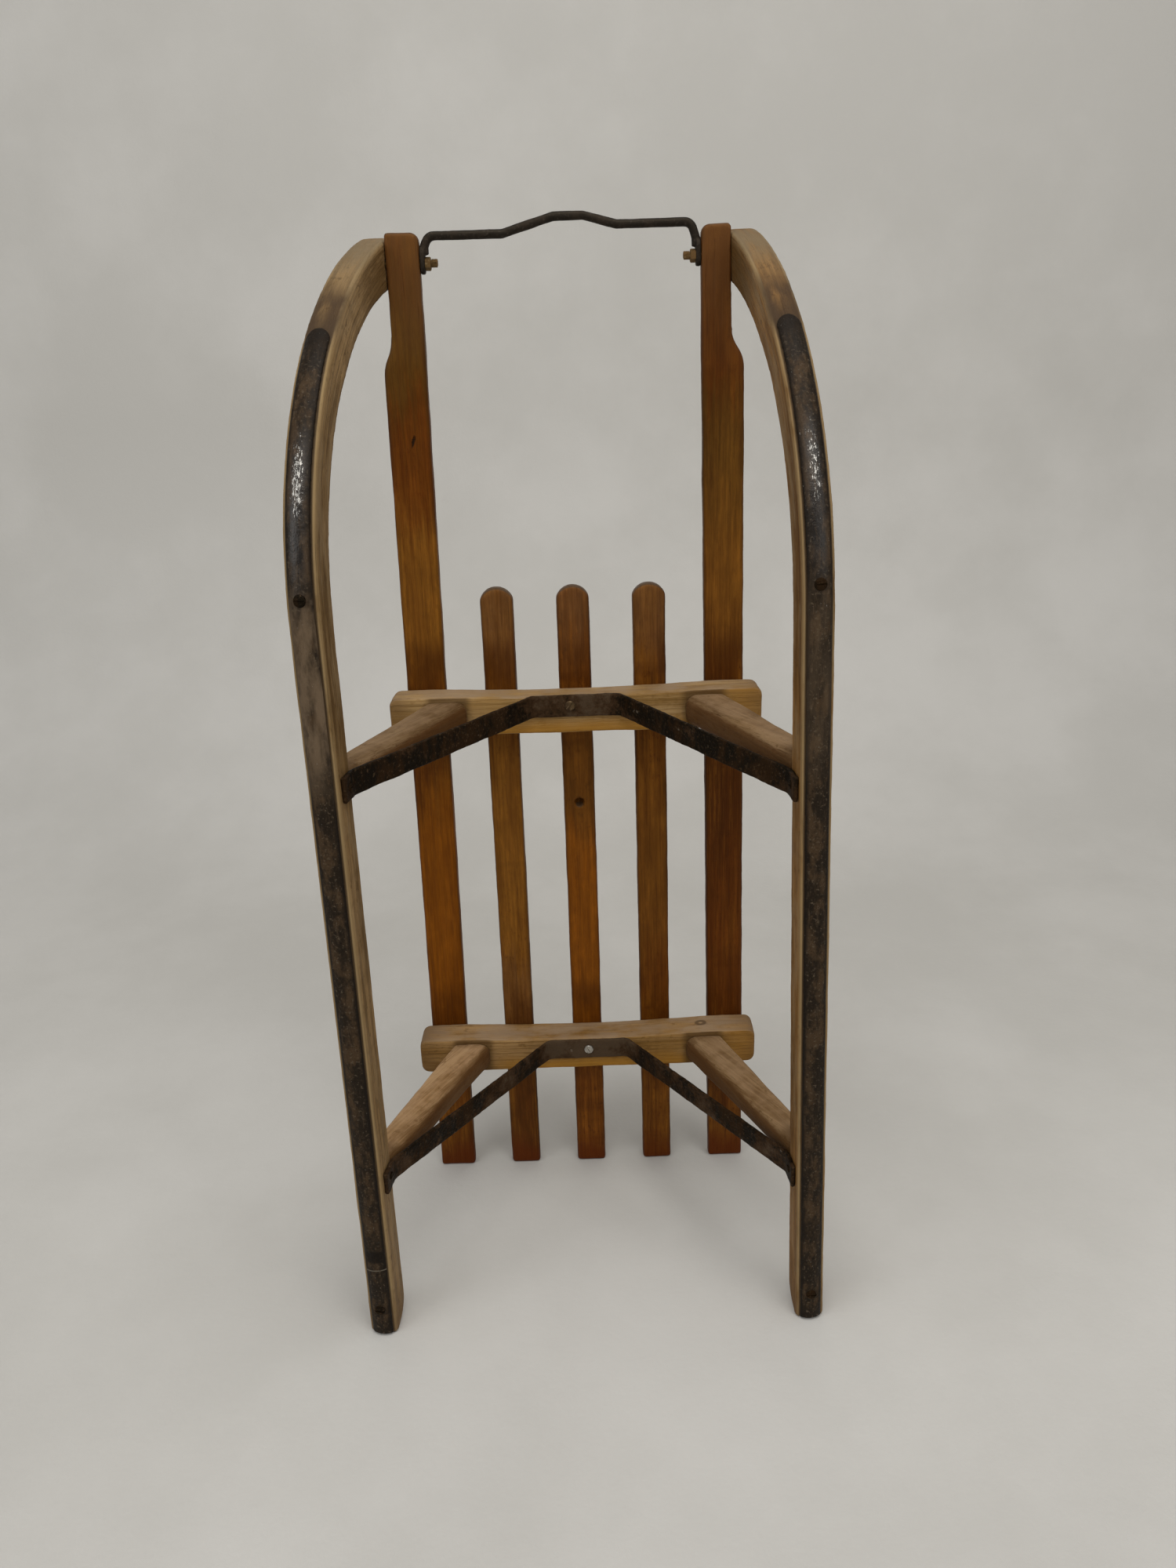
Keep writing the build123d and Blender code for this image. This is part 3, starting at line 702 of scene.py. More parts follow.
@dataclass
class Slats:
    """The five slats of the seat, with their screws."""

    outer_tail_x: float = 0.1393
    outer_draw_in: float = 0.01106
    inner_tail_x: float = 0.0683
    inner_draw_in: float = 0.0025
    outer_half: float = 0.0175
    inner_half: float = 0.0145
    crack: tuple[float, float] = (-0.1283, 0.7271)
    fixing_heights: tuple[float, float] = (0.151, 0.4955)
    screw_sink: float = 0.0004

    def line(self, name: str) -> tuple[float, float, float]:
        """Sideways place at the tail, drift along the length and half width of a slat."""
        sign = -1.0 if name.endswith("left") else 1.0
        if "outer" in name:
            return sign * self.outer_tail_x, -sign * self.outer_draw_in, self.outer_half
        if "inner" in name:
            return sign * self.inner_tail_x, -sign * self.inner_draw_in, self.inner_half
        return 0.0, 0.0, self.inner_half

    def finish(self, name: str) -> Material:
        """Worn varnish of one slat, with painted shade on its side faces and beside the crossbars.

        Args:
            name: The slat's name.

        Returns:
            Its material.
        """
        recipe = Recipe(f"varnish_{name}", tint=(1.0, 0.62, 0.3))
        recipe.set("Coat Weight", 0.02)
        recipe.set("Coat Roughness", 0.3)
        coat = SLAT_TONES[name].layers(recipe, recipe.place)
        tail_x, drift, half = self.line(name)
        height = recipe.place.dot(UP)
        off = recipe.place.dot((1.0, 0.0, -drift)) - (MIDDLE_X + tail_x)
        cloud = recipe.place.noise((40.0, 40.0, 18.0), 4.0, 0.6, 11.0)
        ragged = abs(off) + cloud * 0.006
        # Mask of the side faces, for painted shade there together with dark varnish.
        rim = ragged.ramp(half - 0.0005, half + 0.0035, 0.4)
        fibres = recipe.place.noise((260.0, 260.0, 9.0), 4.0, 0.65, 21.0)
        smear = height + (cloud * 0.1 + fibres * 0.12)
        for stain in SLAT_STAINS[name]:
            patch = smear.band(stain.middle + 0.11, stain.half, 0.075)
            coat.lay(patch * stain.share, stain.colour)
        coat.lay(fibres.ramp(0.5, 0.7, 0.4), SLAT_TONES[name].dark)
        planed = recipe.place.noise((480.0, 480.0, 20.0), 4.0, 0.7, 23.0)
        coat.lay(planed.ramp(0.48, 0.6, 0.24), (0.5, 0.42, 0.36), "MULTIPLY")
        coat.lay(planed.ramp(0.5, 0.4, 0.25), (1.6, 1.6, 1.6), "MULTIPLY")
        mottle = recipe.place.noise((75.0, 75.0, 32.0), 4.0, 0.65, 27.0)
        coat.lay(mottle.ramp(0.48, 0.64, 0.22), (0.58, 0.48, 0.4), "MULTIPLY")
        coat.lay(mottle.ramp(0.5, 0.36, 0.25), (1.6, 1.6, 1.6), "MULTIPLY")
        crown = recipe.facing.dot(UP).ramp(0.35, 0.75, 0.75)
        coat.lay(crown, (0.06, 0.042, 0.026))
        # Painted shade on the side faces, together with their dark varnish.
        coat.lay(rim, (0.024, 0.007, 0.001))
        tail = (height + cloud * 0.05).ramp(0.065, 0.03, 0.85)
        coat.lay(tail, (0.085, 0.014, 0.0012))
        if "outer" in name:
            nose = (height + cloud * 0.08).ramp(0.8, 0.9, 0.7)
            coat.lay(nose, (0.105, 0.045, 0.015))
        # Painted shade on the slat beside each crossbar.
        for bar in self.fixing_heights:
            grime_and_shade = height.band(bar + 0.03, 0.012, 0.03)
            coat.lay(grime_and_shade * cloud.ramp(0.3, 0.7, 0.7), (0.05, 0.012, 0.001))
        if name == "slat_outer_left":
            across, along = self.crack
            right = recipe.place.dot((1.0, 0.0, -0.25)) / 0.0014
            right = right - (across - 0.25 * along) / 0.0014
            up = (height - along) / 0.005
            far = right**2.0 + up**2.0
            torn = recipe.place.noise((620.0, 620.0, 240.0), 3.0, 0.65, 17.0)
            split = (far + torn * 3.2).ramp(2.5, 1.9)
            split = split * recipe.facing.dot(FRONT).ramp(0.3, 0.6)
            coat.lay(split, (0.014, 0.006, 0.003))
            coat.emboss(split * -1.0, 0.002)
        return coat.finish()

    def build(self, screw: Object, finish: Material) -> None:
        """Dress the slats and set their screws in the seat's face.

        Args:
            screw: Screw model.
            finish: The screws' finish.
        """
        for name in SLAT_TONES:
            WOOD_WEAR.dress(name, self.finish(name), "slat_wood")
            tail_x, drift, _ = self.line(name)
            for spot, bar in zip(("rear", "front"), self.fixing_heights):
                point = (MIDDLE_X + tail_x + drift * bar, SLAT_HIGH.y - self.screw_sink, bar)
                turn = Euler((math.radians(-90.0), 0.0, 0.0)).to_matrix().to_4x4()
                spin = Matrix.Rotation(7.0 * bar + 40.0 * tail_x, 4, "Z")
                place = Matrix.Translation(point) @ turn @ spin
                place_copy(screw, f"{name}_screw_{spot}", place, finish)


@dataclass
class Crossbars:
    """The two bars under the slats, pale on their forward faces and ochre where they were covered."""

    front_z: float = 0.4955
    rear_z: float = 0.151
    mark: tuple[float, float] = (0.1115, 0.213)
    leg_x: float = 0.112

    def finish(self, name: str, centre: float) -> Material:
        """Bare pale wood with ochre stains.

        Args:
            name: The bar's name.
            centre: Height of its middle.

        Returns:
            Its material.
        """
        recipe = Recipe(f"bare_wood_{name}")
        lay = Matrix.Translation((0.0, 0.0, centre)) @ Matrix.Rotation(math.radians(90.0), 4, "Y")
        coat = CROSSBAR_TONES[name].layers(recipe, recipe.own_axes(lay))
        seed = CROSSBAR_TONES[name].seed
        x, y, z = recipe.place.split()
        cloud = recipe.place.noise((30.0, 60.0, 60.0), 4.0, 0.6, seed)
        under = recipe.facing.dot(FRONT).ramp(0.4, 0.8)
        low = (z + cloud * 0.012).ramp(centre + 0.006, centre - 0.009)
        covered = under * low * x.band(0.012, 0.07, 0.05)
        worn_end = under * (x + cloud * 0.03).ramp(0.13, 0.17)
        stain = (covered * 0.85).most(worn_end * 0.6)
        coat.lay(stain, (0.33, 0.15, 0.016))
        upward = recipe.facing.dot(UP).ramp(0.4, 0.8)
        coat.lay(upward * cloud.ramp(0.3, 0.65, 0.8), (0.3, 0.208, 0.128))
        off = abs(x)
        grime = (off + cloud * 0.03).ramp(0.15, 0.185, 0.7)
        coat.lay(grime, (0.12, 0.06, 0.02))
        rubbed = recipe.sharpness.ramp(0.52, 0.58) * cloud.ramp(0.3, 0.6, 0.45)
        coat.lay(rubbed, (0.42, 0.29, 0.155))
        shade = under * off.band(self.leg_x, 0.014, 0.009) * 0.75
        coat.lay(shade, (0.07, 0.034, 0.011))
        if name == "crossbar_rear":
            across, level = self.mark
            side = (x - across) / 0.0042
            rise = (y - (RUNNING_Y + level)) / 0.0034
            far = side.hypot(rise)
            knot = far.band(0.9, 0.25, 0.45) * upward * 0.75
            coat.lay(knot, (0.07, 0.04, 0.02))
        return coat.finish()

    def build(self) -> None:
        """Dress both bars."""
        for name, centre in (("crossbar_front", self.front_z), ("crossbar_rear", self.rear_z)):
            WOOD_WEAR.dress(name, self.finish(name, centre), "crossbar_wood")


@dataclass
class Legs:
    """The four splayed legs, pale above, and brown with painted shade on their rounded inner sides."""

    lightness: dict[str, float] = field(
        default_factory=lambda: {
            "leg_front_left": 0.85, "leg_front_right": 1.0, "leg_rear_left": 1.5, "leg_rear_right": 1.05
        }
    )

    def finish(self, name: str, runner: RunnerFrame, light: float, seed: float) -> Material:
        """Weathered wood of one leg, with painted shade on the sides that do not face up and near its joints.

        Args:
            name: The leg's name.
            runner: Runner that it stands on.
            light: Factor on its colours beside the other legs'.
            seed: Place in the wood's pattern.

        Returns:
            Its material.
        """
        recipe = Recipe(f"weathered_{name}")
        low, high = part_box(name)
        middle = (low + high) / 2
        sign = runner.side.value
        lean = math.atan2(high.x - low.x, high.y - low.y)
        axis = Vector((sign * math.sin(lean), -math.cos(lean), 0.0))
        lay = Matrix.Translation(middle) @ axis.to_track_quat("Z", "X").to_matrix().to_4x4()
        coat = LEG_TONE.shaded(light, seed).layers(recipe, recipe.own_axes(lay))
        cloud = recipe.place.noise((45.0, 45.0, 45.0), 4.0, 0.6, seed)
        upward = recipe.facing.dot(UP)
        edge = upward + cloud * 0.2
        # Sides that do not face up are darkened: partly painted shade, partly the wood's own brown.
        coat.lay(edge.ramp(0.85, 0.45, 0.8), (0.088, 0.034, 0.008))
        pale = edge.ramp(0.85, 1.05, 0.5)
        dusty = (0.31 * light, 0.198 * light, 0.108 * light)
        coat.lay(pale * cloud.ramp(0.3, 0.65), dusty)
        rubbed = recipe.sharpness.ramp(0.515, 0.56) * cloud.ramp(0.35, 0.6, 0.4)
        coat.lay(rubbed, (0.33, 0.205, 0.105))
        level = recipe.place.dot((0.0, 1.0, 0.0)) - RUNNING_Y
        joint = level + cloud * -0.02
        above = joint.ramp(0.172, 0.19, 0.5)
        below = joint.ramp(0.045, 0.03, 0.6)
        # Painted shade where the leg meets the crossbar and the runner.
        coat.lay(above.most(below), (0.075, 0.036, 0.012))
        return coat.finish()

    def build(self) -> None:
        """Dress the legs."""
        for number, (name, light) in enumerate(self.lightness.items()):
            runner = RUNNERS[name.split("_")[2]]
            WOOD_WEAR.dress(name, self.finish(name, runner, light, 10.0 + 2.0 * number), "leg_wood")


@dataclass
class Runners:
    """The two bent runners with their iron shoes and the shoes' screws."""

    shoe_end: float = 0.843
    bright_from: float = 0.675
    bright_to: float = 0.765
    screw_heights: tuple[float, float] = (0.028, 0.638)
    screw_sink: float = 0.0006
    scar: float = 0.084
    dust: dict[str, float] = field(default_factory=lambda: {"left": 0.95, "right": 0.25})
    shine: dict[str, float] = field(default_factory=lambda: {"left": 0.2, "right": 0.15})

    def bent(self, recipe: Recipe, runner: RunnerFrame) -> list[Field]:
        """Across, height and length along a runner's own bend.

        Args:
            recipe: Material that gets the nodes.
            runner: The runner.

        Returns:
            The three measures, in metres.
        """
        across, height, along = recipe.own_axes(runner.matrix()).split()
        past = along - runner.bend_start
        over = runner.bend_radius - height
        turn = recipe.math("ARCTAN2", past, over)
        reach = past.hypot(over)
        nose_along, nose_height = runner.nose_centre()
        beyond = along - nose_along
        above = nose_height - height
        nose_turn = recipe.math("ARCTAN2", beyond, above)
        nose_reach = beyond.hypot(above)
        in_bend = recipe.math("GREATER_THAN", past, 0.0)
        in_nose = in_bend * recipe.math("GREATER_THAN", turn, runner.bend_turn)
        length = turn * runner.bend_radius + runner.bend_start
        before_nose = runner.bend_start + runner.bend_turn * (runner.bend_radius - runner.nose_radius)
        nose_length = nose_turn * runner.nose_radius + before_nose
        depth = runner.bend_radius - reach
        nose_depth = runner.nose_radius - nose_reach
        return [
            across,
            recipe.chosen(in_nose, recipe.chosen(in_bend, height, depth), nose_depth),
            recipe.chosen(in_nose, recipe.chosen(in_bend, along, length), nose_length),
        ]

    def wood(self, side: str, runner: RunnerFrame) -> Material:
        """Weathered bent wood, pale along the edges beside the shoe.

        Args:
            side: Name of the side.
            runner: Place of the runner.

        Returns:
            Its material.
        """
        recipe = Recipe(f"bent_wood_{side}")
        across, height, along = self.bent(recipe, runner)
        own = recipe.joined(across, height, along)
        coat = RUNNER_TONES[side].layers(recipe, own)
        cloud = own.noise((60.0, 60.0, 14.0), 4.0, 0.65, 3.0)
        off = abs(across)
        outer = height.ramp(0.0075, 0.0045)
        ragged = height + cloud * 0.006
        pale = outer.most(ragged.ramp(0.0115, 0.008, 0.8))
        share = pale * cloud.ramp(0.25, 0.5, 0.8) * off.ramp(0.0085, 0.0098)
        coat.lay(share, (0.31, 0.215, 0.105))
        edge = off.ramp(0.0108, 0.0118) * cloud.ramp(0.45, 0.65, 0.5)
        coat.lay(edge, (0.27, 0.185, 0.095))
        shod = along.ramp(self.shoe_end + 0.03, self.shoe_end)
        lip = outer * off.ramp(0.0104, 0.0092) * shod
        coat.lay(lip * 0.85, (0.04, 0.026, 0.016))
        length = along + cloud * 0.05
        beyond = length.band(self.shoe_end + 0.05, 0.01, 0.045)
        # Dark grime around the shoe's end.
        grime_and_shade = beyond * outer * cloud.ramp(0.2, 0.6)
        coat.lay(grime_and_shade * 0.9, (0.05, 0.029, 0.016))
        nose = length.ramp(self.shoe_end + 0.07, self.shoe_end + 0.12)
        inside = nose * height.ramp(0.006, 0.012)
        coat.lay(inside * cloud.ramp(0.25, 0.55, 0.75), (0.085, 0.042, 0.01))
        tip = length.ramp(self.shoe_end + 0.06, self.shoe_end + 0.15, 0.85)
        coat.lay(tip * outer * cloud.ramp(0.25, 0.6), (0.17, 0.122, 0.066))
        tail = length.ramp(0.08, 0.02, 0.5)
        coat.lay(tail, (0.1, 0.055, 0.024))
        return coat.finish()

    def iron(self, side: str, runner: RunnerFrame) -> Material:
        """Dark rusted strip, rubbed bright on the crest of the bend.

        Args:
            side: Name of the side.
            runner: Place of the runner.

        Returns:
            Its material.
        """
        recipe = Recipe(f"shoe_iron_{side}", tint=(1.0, 0.95, 0.9))
        across, height, along = self.bent(recipe, runner)
        own = recipe.joined(across, height, along)
        coat = SHOE_TONE.layers(recipe, own)
        cloud = own.noise((70.0, 70.0, 22.0), 4.0, 0.65, 2.0)
        off = abs(across)
        crust = own.noise((300.0, 300.0, 60.0), 5.0, 0.75, 4.0)
        coat.lay(crust.ramp(0.52, 0.66, 0.5), (0.07, 0.046, 0.027))
        rim = (off + cloud * 0.004).ramp(0.0075, 0.0105, 0.9)
        end = along.ramp(self.shoe_end - 0.05, self.shoe_end - 0.005, 0.9)
        coat.lay(rim.most(end), (0.009, 0.006, 0.0038))
        dusty = along.band(0.575, 0.035, 0.06) * cloud.ramp(0.3, 0.6)
        coat.lay(dusty * self.dust[side], (0.14, 0.096, 0.058))
        if side == "left":
            dent = along.band(self.scar, 0.004, 0.004)
            coat.lay(dent * off.ramp(0.0095, 0.0055, 0.85), (0.006, 0.004, 0.0025))
            nick = along + across * -0.08
            line = nick.band(self.scar - 0.014, 0.0003, 0.0004)
            coat.lay(line * cloud.ramp(0.35, 0.5, 0.8), (0.15, 0.13, 0.1))
        middle = (self.bright_from + self.bright_to) / 2
        half = (self.bright_to - self.bright_from) / 2
        bend = along.band(middle - 0.025, 0.6 * half, half)
        sheen = bend * off.ramp(0.0085, 0.002)
        coat.lay(sheen * crust.ramp(0.65, 0.45, 0.8), (0.012, 0.0105, 0.0098))
        crest = along.band(middle, 0.15 * half, 0.9 * half)
        zone = crest * off.ramp(0.0065, 0.001)
        scratch = own.noise((900.0, 900.0, 330.0), 4.0, 0.75, 6.0)
        worn = (zone * self.shine[side] + scratch).ramp(0.67, 0.77, 0.95)
        coat.lay(worn, (0.52, 0.5, 0.46))
        recipe.set("Metallic", worn)
        mirror = sheen * 0.3 + 0.1
        recipe.set("Specular IOR Level", mirror)
        coat.roughness = coat.roughness - sheen * 0.24
        coat.emboss(crust, 0.0003)
        return coat.finish()

    def build(self, screw: Object, finish: Material) -> None:
        """Dress runners and shoes, and set the shoes' screws.

        Args:
            screw: Screw model.
            finish: The screws' finish.
        """
        for side, runner in RUNNERS.items():
            RUNNER_WEAR.dress(f"runner_{side}", self.wood(side, runner), "runner_wood")
            SHOE_WEAR.dress(f"shoe_{side}", self.iron(side, runner), "shoe_iron")
            for spot, along in zip(("tail", "bend"), self.screw_heights):
                past = max(0.0, along - runner.bend_start)
                turn = past / runner.bend_radius
                rise = runner.bend_radius * (1.0 - math.cos(turn))
                length = along - past + runner.bend_radius * math.sin(turn)
                outwards = Vector((0.0, -math.cos(turn), math.sin(turn)))
                place = runner.seat(0.0, rise + self.screw_sink, length, outwards)
                place_copy(screw, f"shoe_{side}_screw_{spot}", place, finish)


@dataclass
class Ironwork:
    """Braces, pull bar and tip bolts, with the braces' screws and the bolts' threads."""

    screw_radius: float = 0.0045
    screw_height: float = 0.0018
    slot_width: float = 0.0011
    slot_depth: float = 0.0008
    thread_root: float = 0.00272
    thread_crest: float = 0.00312
    thread_pitch: float = 0.0009
    thread_turns: int = 5
    brace_offset: float = 0.0157
    brace_screws: tuple[Triple, Triple] = ((-0.0053, 0.5035, 1.0), (0.0008, 0.1562, -1.0))
    brace_screw_sink: float = 0.0002
    foot_screw_scale: float = 0.7
    foot_screw_height: float = 0.0185
    foot_screws: dict[str, float] = field(
        default_factory=lambda: {
            "front_left": 0.4975, "rear_left": 0.154, "front_right": 0.488, "rear_right": 0.146
        }
    )
    thread_overlap: float = 0.0004

    def screw(self) -> Object:
        """Model a round-headed slotted screw along +Z, its seat at the origin."""
        bpy.ops.object.select_all(action="DESELECT")
        bpy.ops.mesh.primitive_cylinder_add(
            vertices=28, radius=self.screw_radius, depth=self.screw_height,
            location=(0.0, 0.0, self.screw_height / 2),
        )
        head = bpy.context.object
        bpy.ops.object.transform_apply()
        bpy.ops.object.mode_set(mode="EDIT")
        pick_faces(head, UP)
        bpy.ops.mesh.bevel(offset=0.6 * self.screw_height, segments=3, affect="EDGES")
        pick_faces(head, UP)
        bpy.ops.mesh.inset(thickness=0.35 * self.screw_radius)
        bpy.ops.transform.translate(value=(0.0, 0.0, 0.12 * self.screw_height))
        bpy.ops.object.mode_set(mode="OBJECT")
        bpy.ops.object.select_all(action="DESELECT")
        bpy.ops.mesh.primitive_cube_add(size=1.0, location=(0.0, 0.0, 1.12 * self.screw_height))
        cutter = bpy.context.object
        cutter.scale = (4.0 * self.screw_radius, self.slot_width, 2.0 * self.slot_depth)
        bpy.ops.object.transform_apply()
        apply_modifier(head, "BOOLEAN", operation="DIFFERENCE", object=cutter, solver="EXACT")
        remove(cutter)
        only(head)
        bpy.ops.object.shade_smooth_by_angle(angle=math.radians(30.0))
        return head

    def thread(self) -> Object:
        """Model the thread on a bolt's stub along +Z, its foot at the origin."""
        bpy.ops.object.select_all(action="DESELECT")
        start = 0.25 * self.thread_pitch
        bpy.ops.mesh.primitive_cylinder_add(
            vertices=24, radius=self.thread_root, depth=start, location=(0.0, 0.0, start / 2)
        )
        stub = bpy.context.object
        bpy.ops.object.transform_apply()
        bpy.ops.object.mode_set(mode="EDIT")
        pick_faces(stub, UP)
        wider = self.thread_crest / self.thread_root
        step = self.thread_pitch / 4
        for _ in range(self.thread_turns):
            for grow in (wider, 1.0, 1.0 / wider, 1.0):
                bpy.ops.mesh.extrude_region_move(TRANSFORM_OT_translate={"value": (0.0, 0.0, step)})
                bpy.ops.transform.resize(value=(grow, grow, 1.0))
        bpy.ops.mesh.extrude_region_move(TRANSFORM_OT_translate={"value": (0.0, 0.0, step)})
        bpy.ops.transform.resize(value=(0.75, 0.75, 1.0))
        bpy.ops.object.mode_set(mode="OBJECT")
        bpy.ops.object.shade_smooth_by_angle(angle=math.radians(50.0))
        return stub

    @staticmethod
    def plain(name: str, tone: IronFinish, metal: float) -> Material:
        """Iron finish with a set share of bare metal.

        Args:
            name: The material's name.
            tone: Its iron.
            metal: Share of bare metal.

        Returns:
            The material.
        """
        recipe = Recipe(name)
        recipe.set("Metallic", metal)
        return tone.layers(recipe, recipe.place).finish()

    def brace_finish(self, name: str, rusty: float) -> Material:
        """Black pitted strip, rusted brown in places and rubbed at its edges.

        Args:
            name: The brace's name.
            rusty: Pattern value above which the rust has come through.

        Returns:
            Its material.
        """
        recipe = Recipe(f"black_iron_{name}", specular=0.12)
        coat = BRACE_TONE.layers(recipe, recipe.place)
        cloud = recipe.place.noise((28.0, 28.0, 28.0), 5.0, 0.7, 4.0)
        fine = recipe.place.noise((300.0, 300.0, 300.0), 4.0, 0.7, 6.0)
        flat = recipe.place.dot((1.0, 0.0, 0.0)).band(0.0, 0.025, 0.03) * 0.22
        rust = cloud + flat + fine * 0.25
        coat.lay(rust.ramp(rusty, rusty + 0.14, 0.9), (0.042, 0.021, 0.0095))
        coat.lay(rust.ramp(rusty + 0.1, rusty + 0.24, 0.7), (0.075, 0.05, 0.03))
        rubbed = recipe.sharpness.ramp(0.52, 0.58) * fine.ramp(0.4, 0.65, 0.7)
        coat.lay(rubbed, (0.07, 0.043, 0.024))
        chips = recipe.place.noise((130.0, 130.0, 130.0), 2.0, 0.5, 8.0)
        coat.lay(chips.ramp(0.71, 0.75, 0.6), (0.14, 0.112, 0.084))
        coat.emboss(fine, 0.0006)
        return coat.finish()

    def build(self, screw: Object, bronze: Material, bright: Material, dark: Material) -> None:
        """Dress the ironwork and set its screws and threads.

        Args:
            screw: Screw model.
            bronze: Finish of the dull screws.
            bright: Finish of the bright ones.
            dark: Finish of the braces' foot screws.
        """
        for name, rusty in (("brace_front", 0.68), ("brace_rear", 0.58)):
            BRACE_WEAR.dress(name, self.brace_finish(name, rusty), "brace_iron")
        BAR_WEAR.dress("pull_bar", self.plain("bar_iron", BAR_TONE, 0.0), "bar_iron")
        brass = self.plain("bolt_iron", BOLT_TONE, 0.35)
        forwards = Euler((math.radians(90.0), 0.0, 0.0)).to_matrix().to_4x4()
        for end, (x, z, turn) in zip(("front", "rear"), self.brace_screws):
            point = (MIDDLE_X + x, RUNNING_Y + BRACE_LEVEL + self.brace_screw_sink, z)
            place = Matrix.Translation(point) @ forwards @ Matrix.Rotation(turn, 4, "Z")
            place_copy(screw, f"brace_{end}_screw", place, bronze if end == "front" else bright)
        small = Matrix.Scale(self.foot_screw_scale, 4)
        for spot, along in self.foot_screws.items():
            runner = RUNNERS[spot.split("_")[1]]
            place = runner.seat(-self.brace_offset, self.foot_screw_height, along, Vector((-1.0, 0.0, 0.0)))
            place_copy(screw, f"brace_{spot}_screw", place @ small, dark)
        thread = self.thread()
        for side, runner in RUNNERS.items():
            name = f"tip_bolt_{side}"
            dress(name, brass)
            low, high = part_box(name)
            inner = low.x if runner.side is Side.RIGHT else high.x
            sign = runner.side.value
            length = self.thread_pitch * (self.thread_turns + 0.5)
            middle = (low + high) / 2
            point = (inner + sign * (length - self.thread_overlap), middle.y, middle.z)
            turn = Vector((-sign, 0.0, 0.0)).to_track_quat("Z", "Y").to_matrix().to_4x4()
            place_copy(thread, f"{name}_thread", Matrix.Translation(point) @ turn, brass)
        remove(thread)


@dataclass(frozen=True)
class Lamp:
    """Square soft light, with its power in watts."""

    name: str
    place: Triple
    aim: Triple
    size: float
    power: float
    tint: Colour

    def hang(self) -> None:
        """Hang the light so that it faces its aim."""
        data = bpy.data.lights.new(self.name, "AREA")
        data.size = self.size
        data.energy = self.power
        data.color = self.tint
        lamp = bpy.data.objects.new(self.name, data)
        lamp.location = self.place
        lamp.rotation_euler = (Vector(self.aim) - Vector(self.place)).to_track_quat("-Z", "Y").to_euler()
        bpy.context.collection.objects.link(lamp)


LAMPS = (
    Lamp("ceiling", (0.2, -0.9, 2.6), (0.0, 0.0, 0.4), 2.4, 48.0, (1.0, 0.985, 0.96)),
    Lamp("window", (-2.2, -1.6, 1.6), (0.0, 0.0, 0.45), 1.6, 17.0, (0.96, 0.98, 1.0)),
    Lamp("room", (1.8, -2.2, 1.2), (0.0, 0.0, 0.4), 2.0, 11.0, (1.0, 0.98, 0.95)),
)


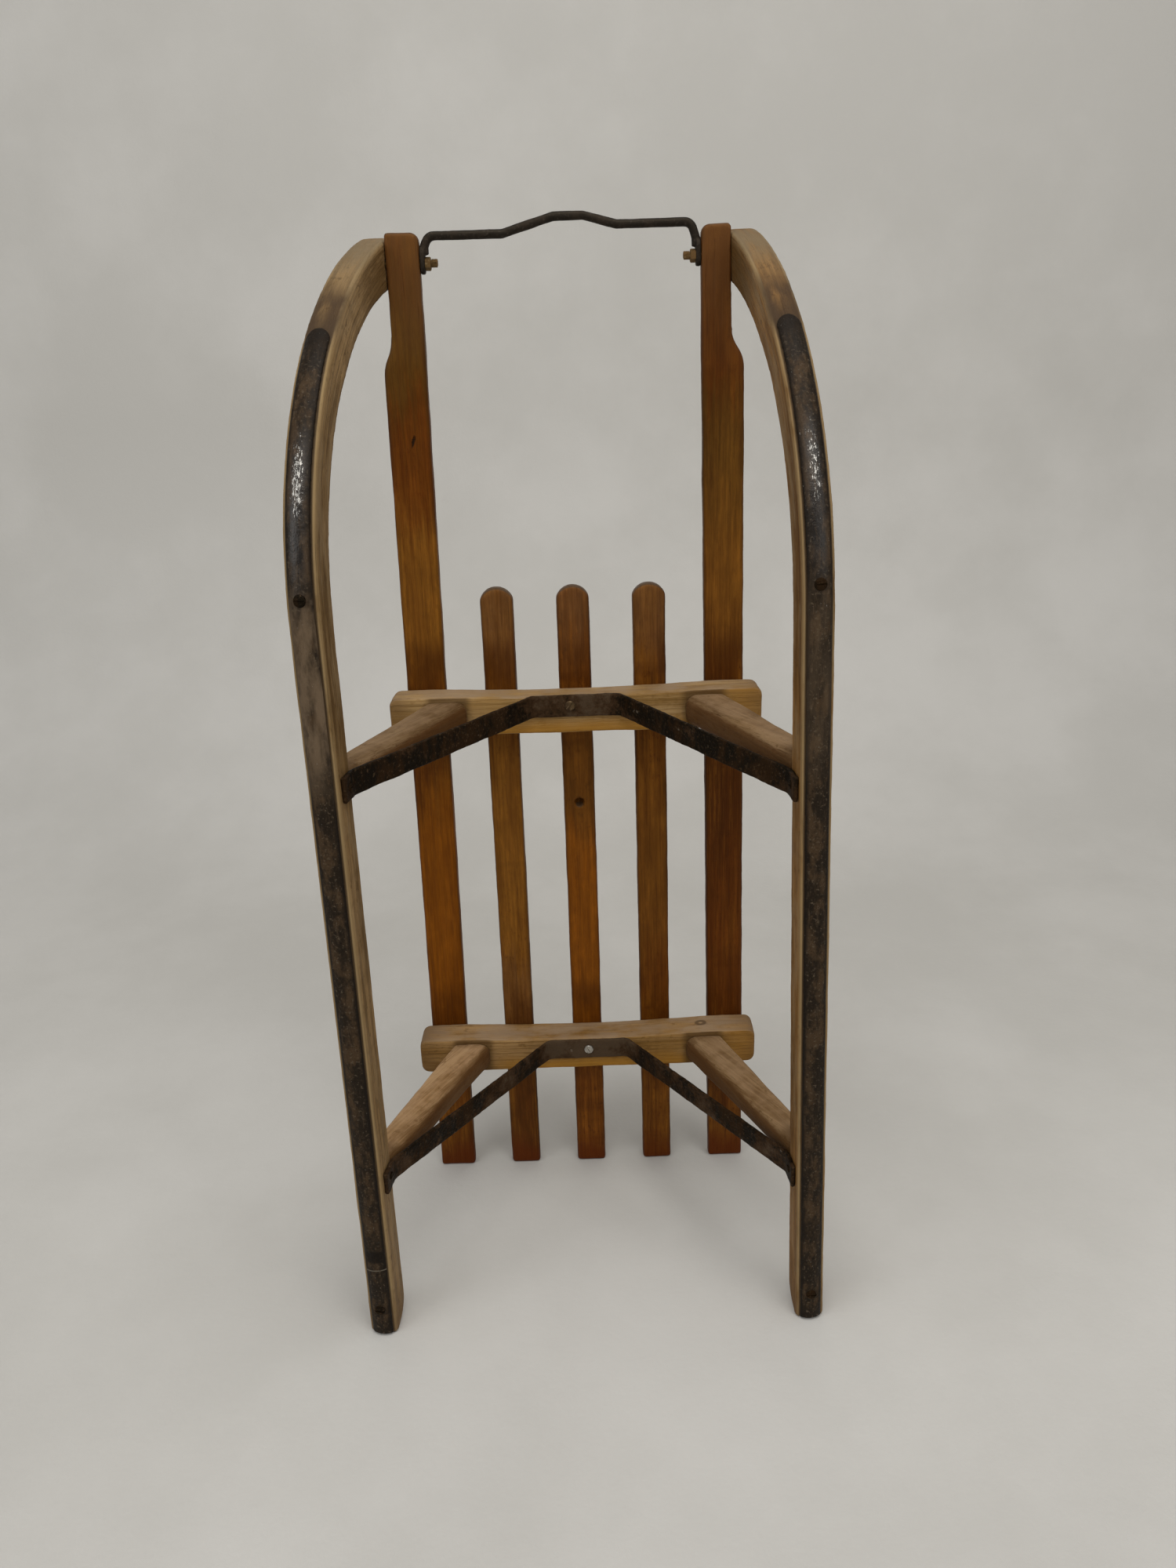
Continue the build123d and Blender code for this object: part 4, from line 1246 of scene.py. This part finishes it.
@dataclass
class Studio:
    """Pale floor with a swept back, soft light, and the camera."""

    camera_x: float = 0.0019
    camera_from_sled: float = 0.7897
    camera_height: float = 0.7837
    pitch: float = math.radians(19.79)
    yaw: float = math.radians(0.37)
    roll: float = math.radians(-1.83)
    focal_pixels: float = 1489.0
    frame_height: float = 2000.0
    sensor: float = 36.0
    floor_dark: Colour = (0.56, 0.547, 0.515)
    floor_pale: Colour = (0.62, 0.606, 0.575)
    floor_size: float = 8.0
    floor_middle: Triple = (0.0, -2.6, 0.0)
    back_height: float = 4.0
    sweep: float = 0.7
    sky: Colour = (0.9, 0.9, 0.9)
    sky_strength: float = 0.27

    def camera(self) -> None:
        """Stand the camera where the viewer stood."""
        data = bpy.data.cameras.new("viewer")
        data.sensor_fit = "AUTO"
        data.sensor_width = self.sensor
        data.lens = self.focal_pixels * self.sensor / self.frame_height
        data.clip_end = 60.0
        camera = bpy.data.objects.new("viewer", data)
        turn = Matrix.Rotation(-self.yaw, 4, "Z") @ Matrix.Rotation(math.pi / 2 - self.pitch, 4, "X")
        place = (MIDDLE_X + self.camera_x, RUNNING_Y - self.camera_from_sled, self.camera_height)
        camera.matrix_world = Matrix.Translation(place) @ turn @ Matrix.Rotation(self.roll, 4, "Z")
        bpy.context.collection.objects.link(camera)
        bpy.context.scene.camera = camera

    def floor(self) -> None:
        """Floor that sweeps up into a plain back."""
        bpy.ops.object.select_all(action="DESELECT")
        bpy.ops.mesh.primitive_plane_add(size=self.floor_size, location=self.floor_middle)
        floor = bpy.context.object
        floor.name = "floor"
        bpy.ops.object.transform_apply()
        bpy.ops.object.mode_set(mode="EDIT")
        bpy.ops.mesh.select_mode(type="EDGE")
        bpy.ops.mesh.select_all(action="DESELECT")
        bpy.ops.object.mode_set(mode="OBJECT")
        for edge in floor.data.edges:
            edge.select = all(floor.data.vertices[i].co.y > 1.0 for i in edge.vertices)
        bpy.ops.object.mode_set(mode="EDIT")
        bpy.ops.mesh.extrude_region_move(TRANSFORM_OT_translate={"value": (0.0, 0.0, self.back_height)})
        bpy.ops.object.mode_set(mode="OBJECT")
        for edge in floor.data.edges:
            edge.select = all(
                floor.data.vertices[i].co.y > 1.0 and floor.data.vertices[i].co.z < 0.1 for i in edge.vertices
            )
        bpy.ops.object.mode_set(mode="EDIT")
        bpy.ops.mesh.bevel(offset=self.sweep, segments=24, affect="EDGES")
        bpy.ops.mesh.select_all(action="SELECT")
        bpy.ops.object.mode_set(mode="OBJECT")
        bpy.ops.object.shade_smooth()
        recipe = Recipe("pale_floor")
        cloud = recipe.place.noise((2.5, 2.5, 2.5), 5.0, 0.6)
        grit = recipe.place.noise((160.0, 160.0, 160.0), 3.0, 0.6)
        coat = Coat(recipe, recipe.blend(cloud.ramp(0.35, 0.7), self.floor_dark, self.floor_pale))
        coat.roughness = grit.ramp(0.3, 0.7, 0.15) + 0.7
        coat.emboss(grit, 0.0003)
        floor.data.materials.append(coat.finish())

    def build(self) -> None:
        """Set up floor, lights, sky and camera."""
        self.floor()
        for lamp in LAMPS:
            lamp.hang()
        world = bpy.data.worlds.new("pale_room")
        world.use_nodes = True
        background = world.node_tree.nodes["Background"]
        background.inputs["Color"].default_value = (*self.sky, 1.0)
        background.inputs["Strength"].default_value = self.sky_strength
        bpy.context.scene.world = world
        bpy.context.scene.view_settings.view_transform = "Standard"
        self.camera()


def main() -> None:
    """Build and dress the sled and its studio."""
    logging.basicConfig(level=logging.INFO, format="%(name)s: %(message)s")
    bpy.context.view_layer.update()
    ironwork = Ironwork()
    screw = ironwork.screw()
    bronze = ironwork.plain("dull_bronze_screw", BRONZE_TONE, 0.6)
    bright = ironwork.plain("bright_screw", BRIGHT_TONE, 0.85)
    dark = ironwork.plain("dark_screw", BRACE_TONE, 0.4)
    Slats().build(screw, bronze)
    Crossbars().build()
    Legs().build()
    Runners().build(screw, dark)
    ironwork.build(screw, bronze, bright, dark)
    remove(screw)
    Studio().build()


if __name__ == "__main__":
    main()
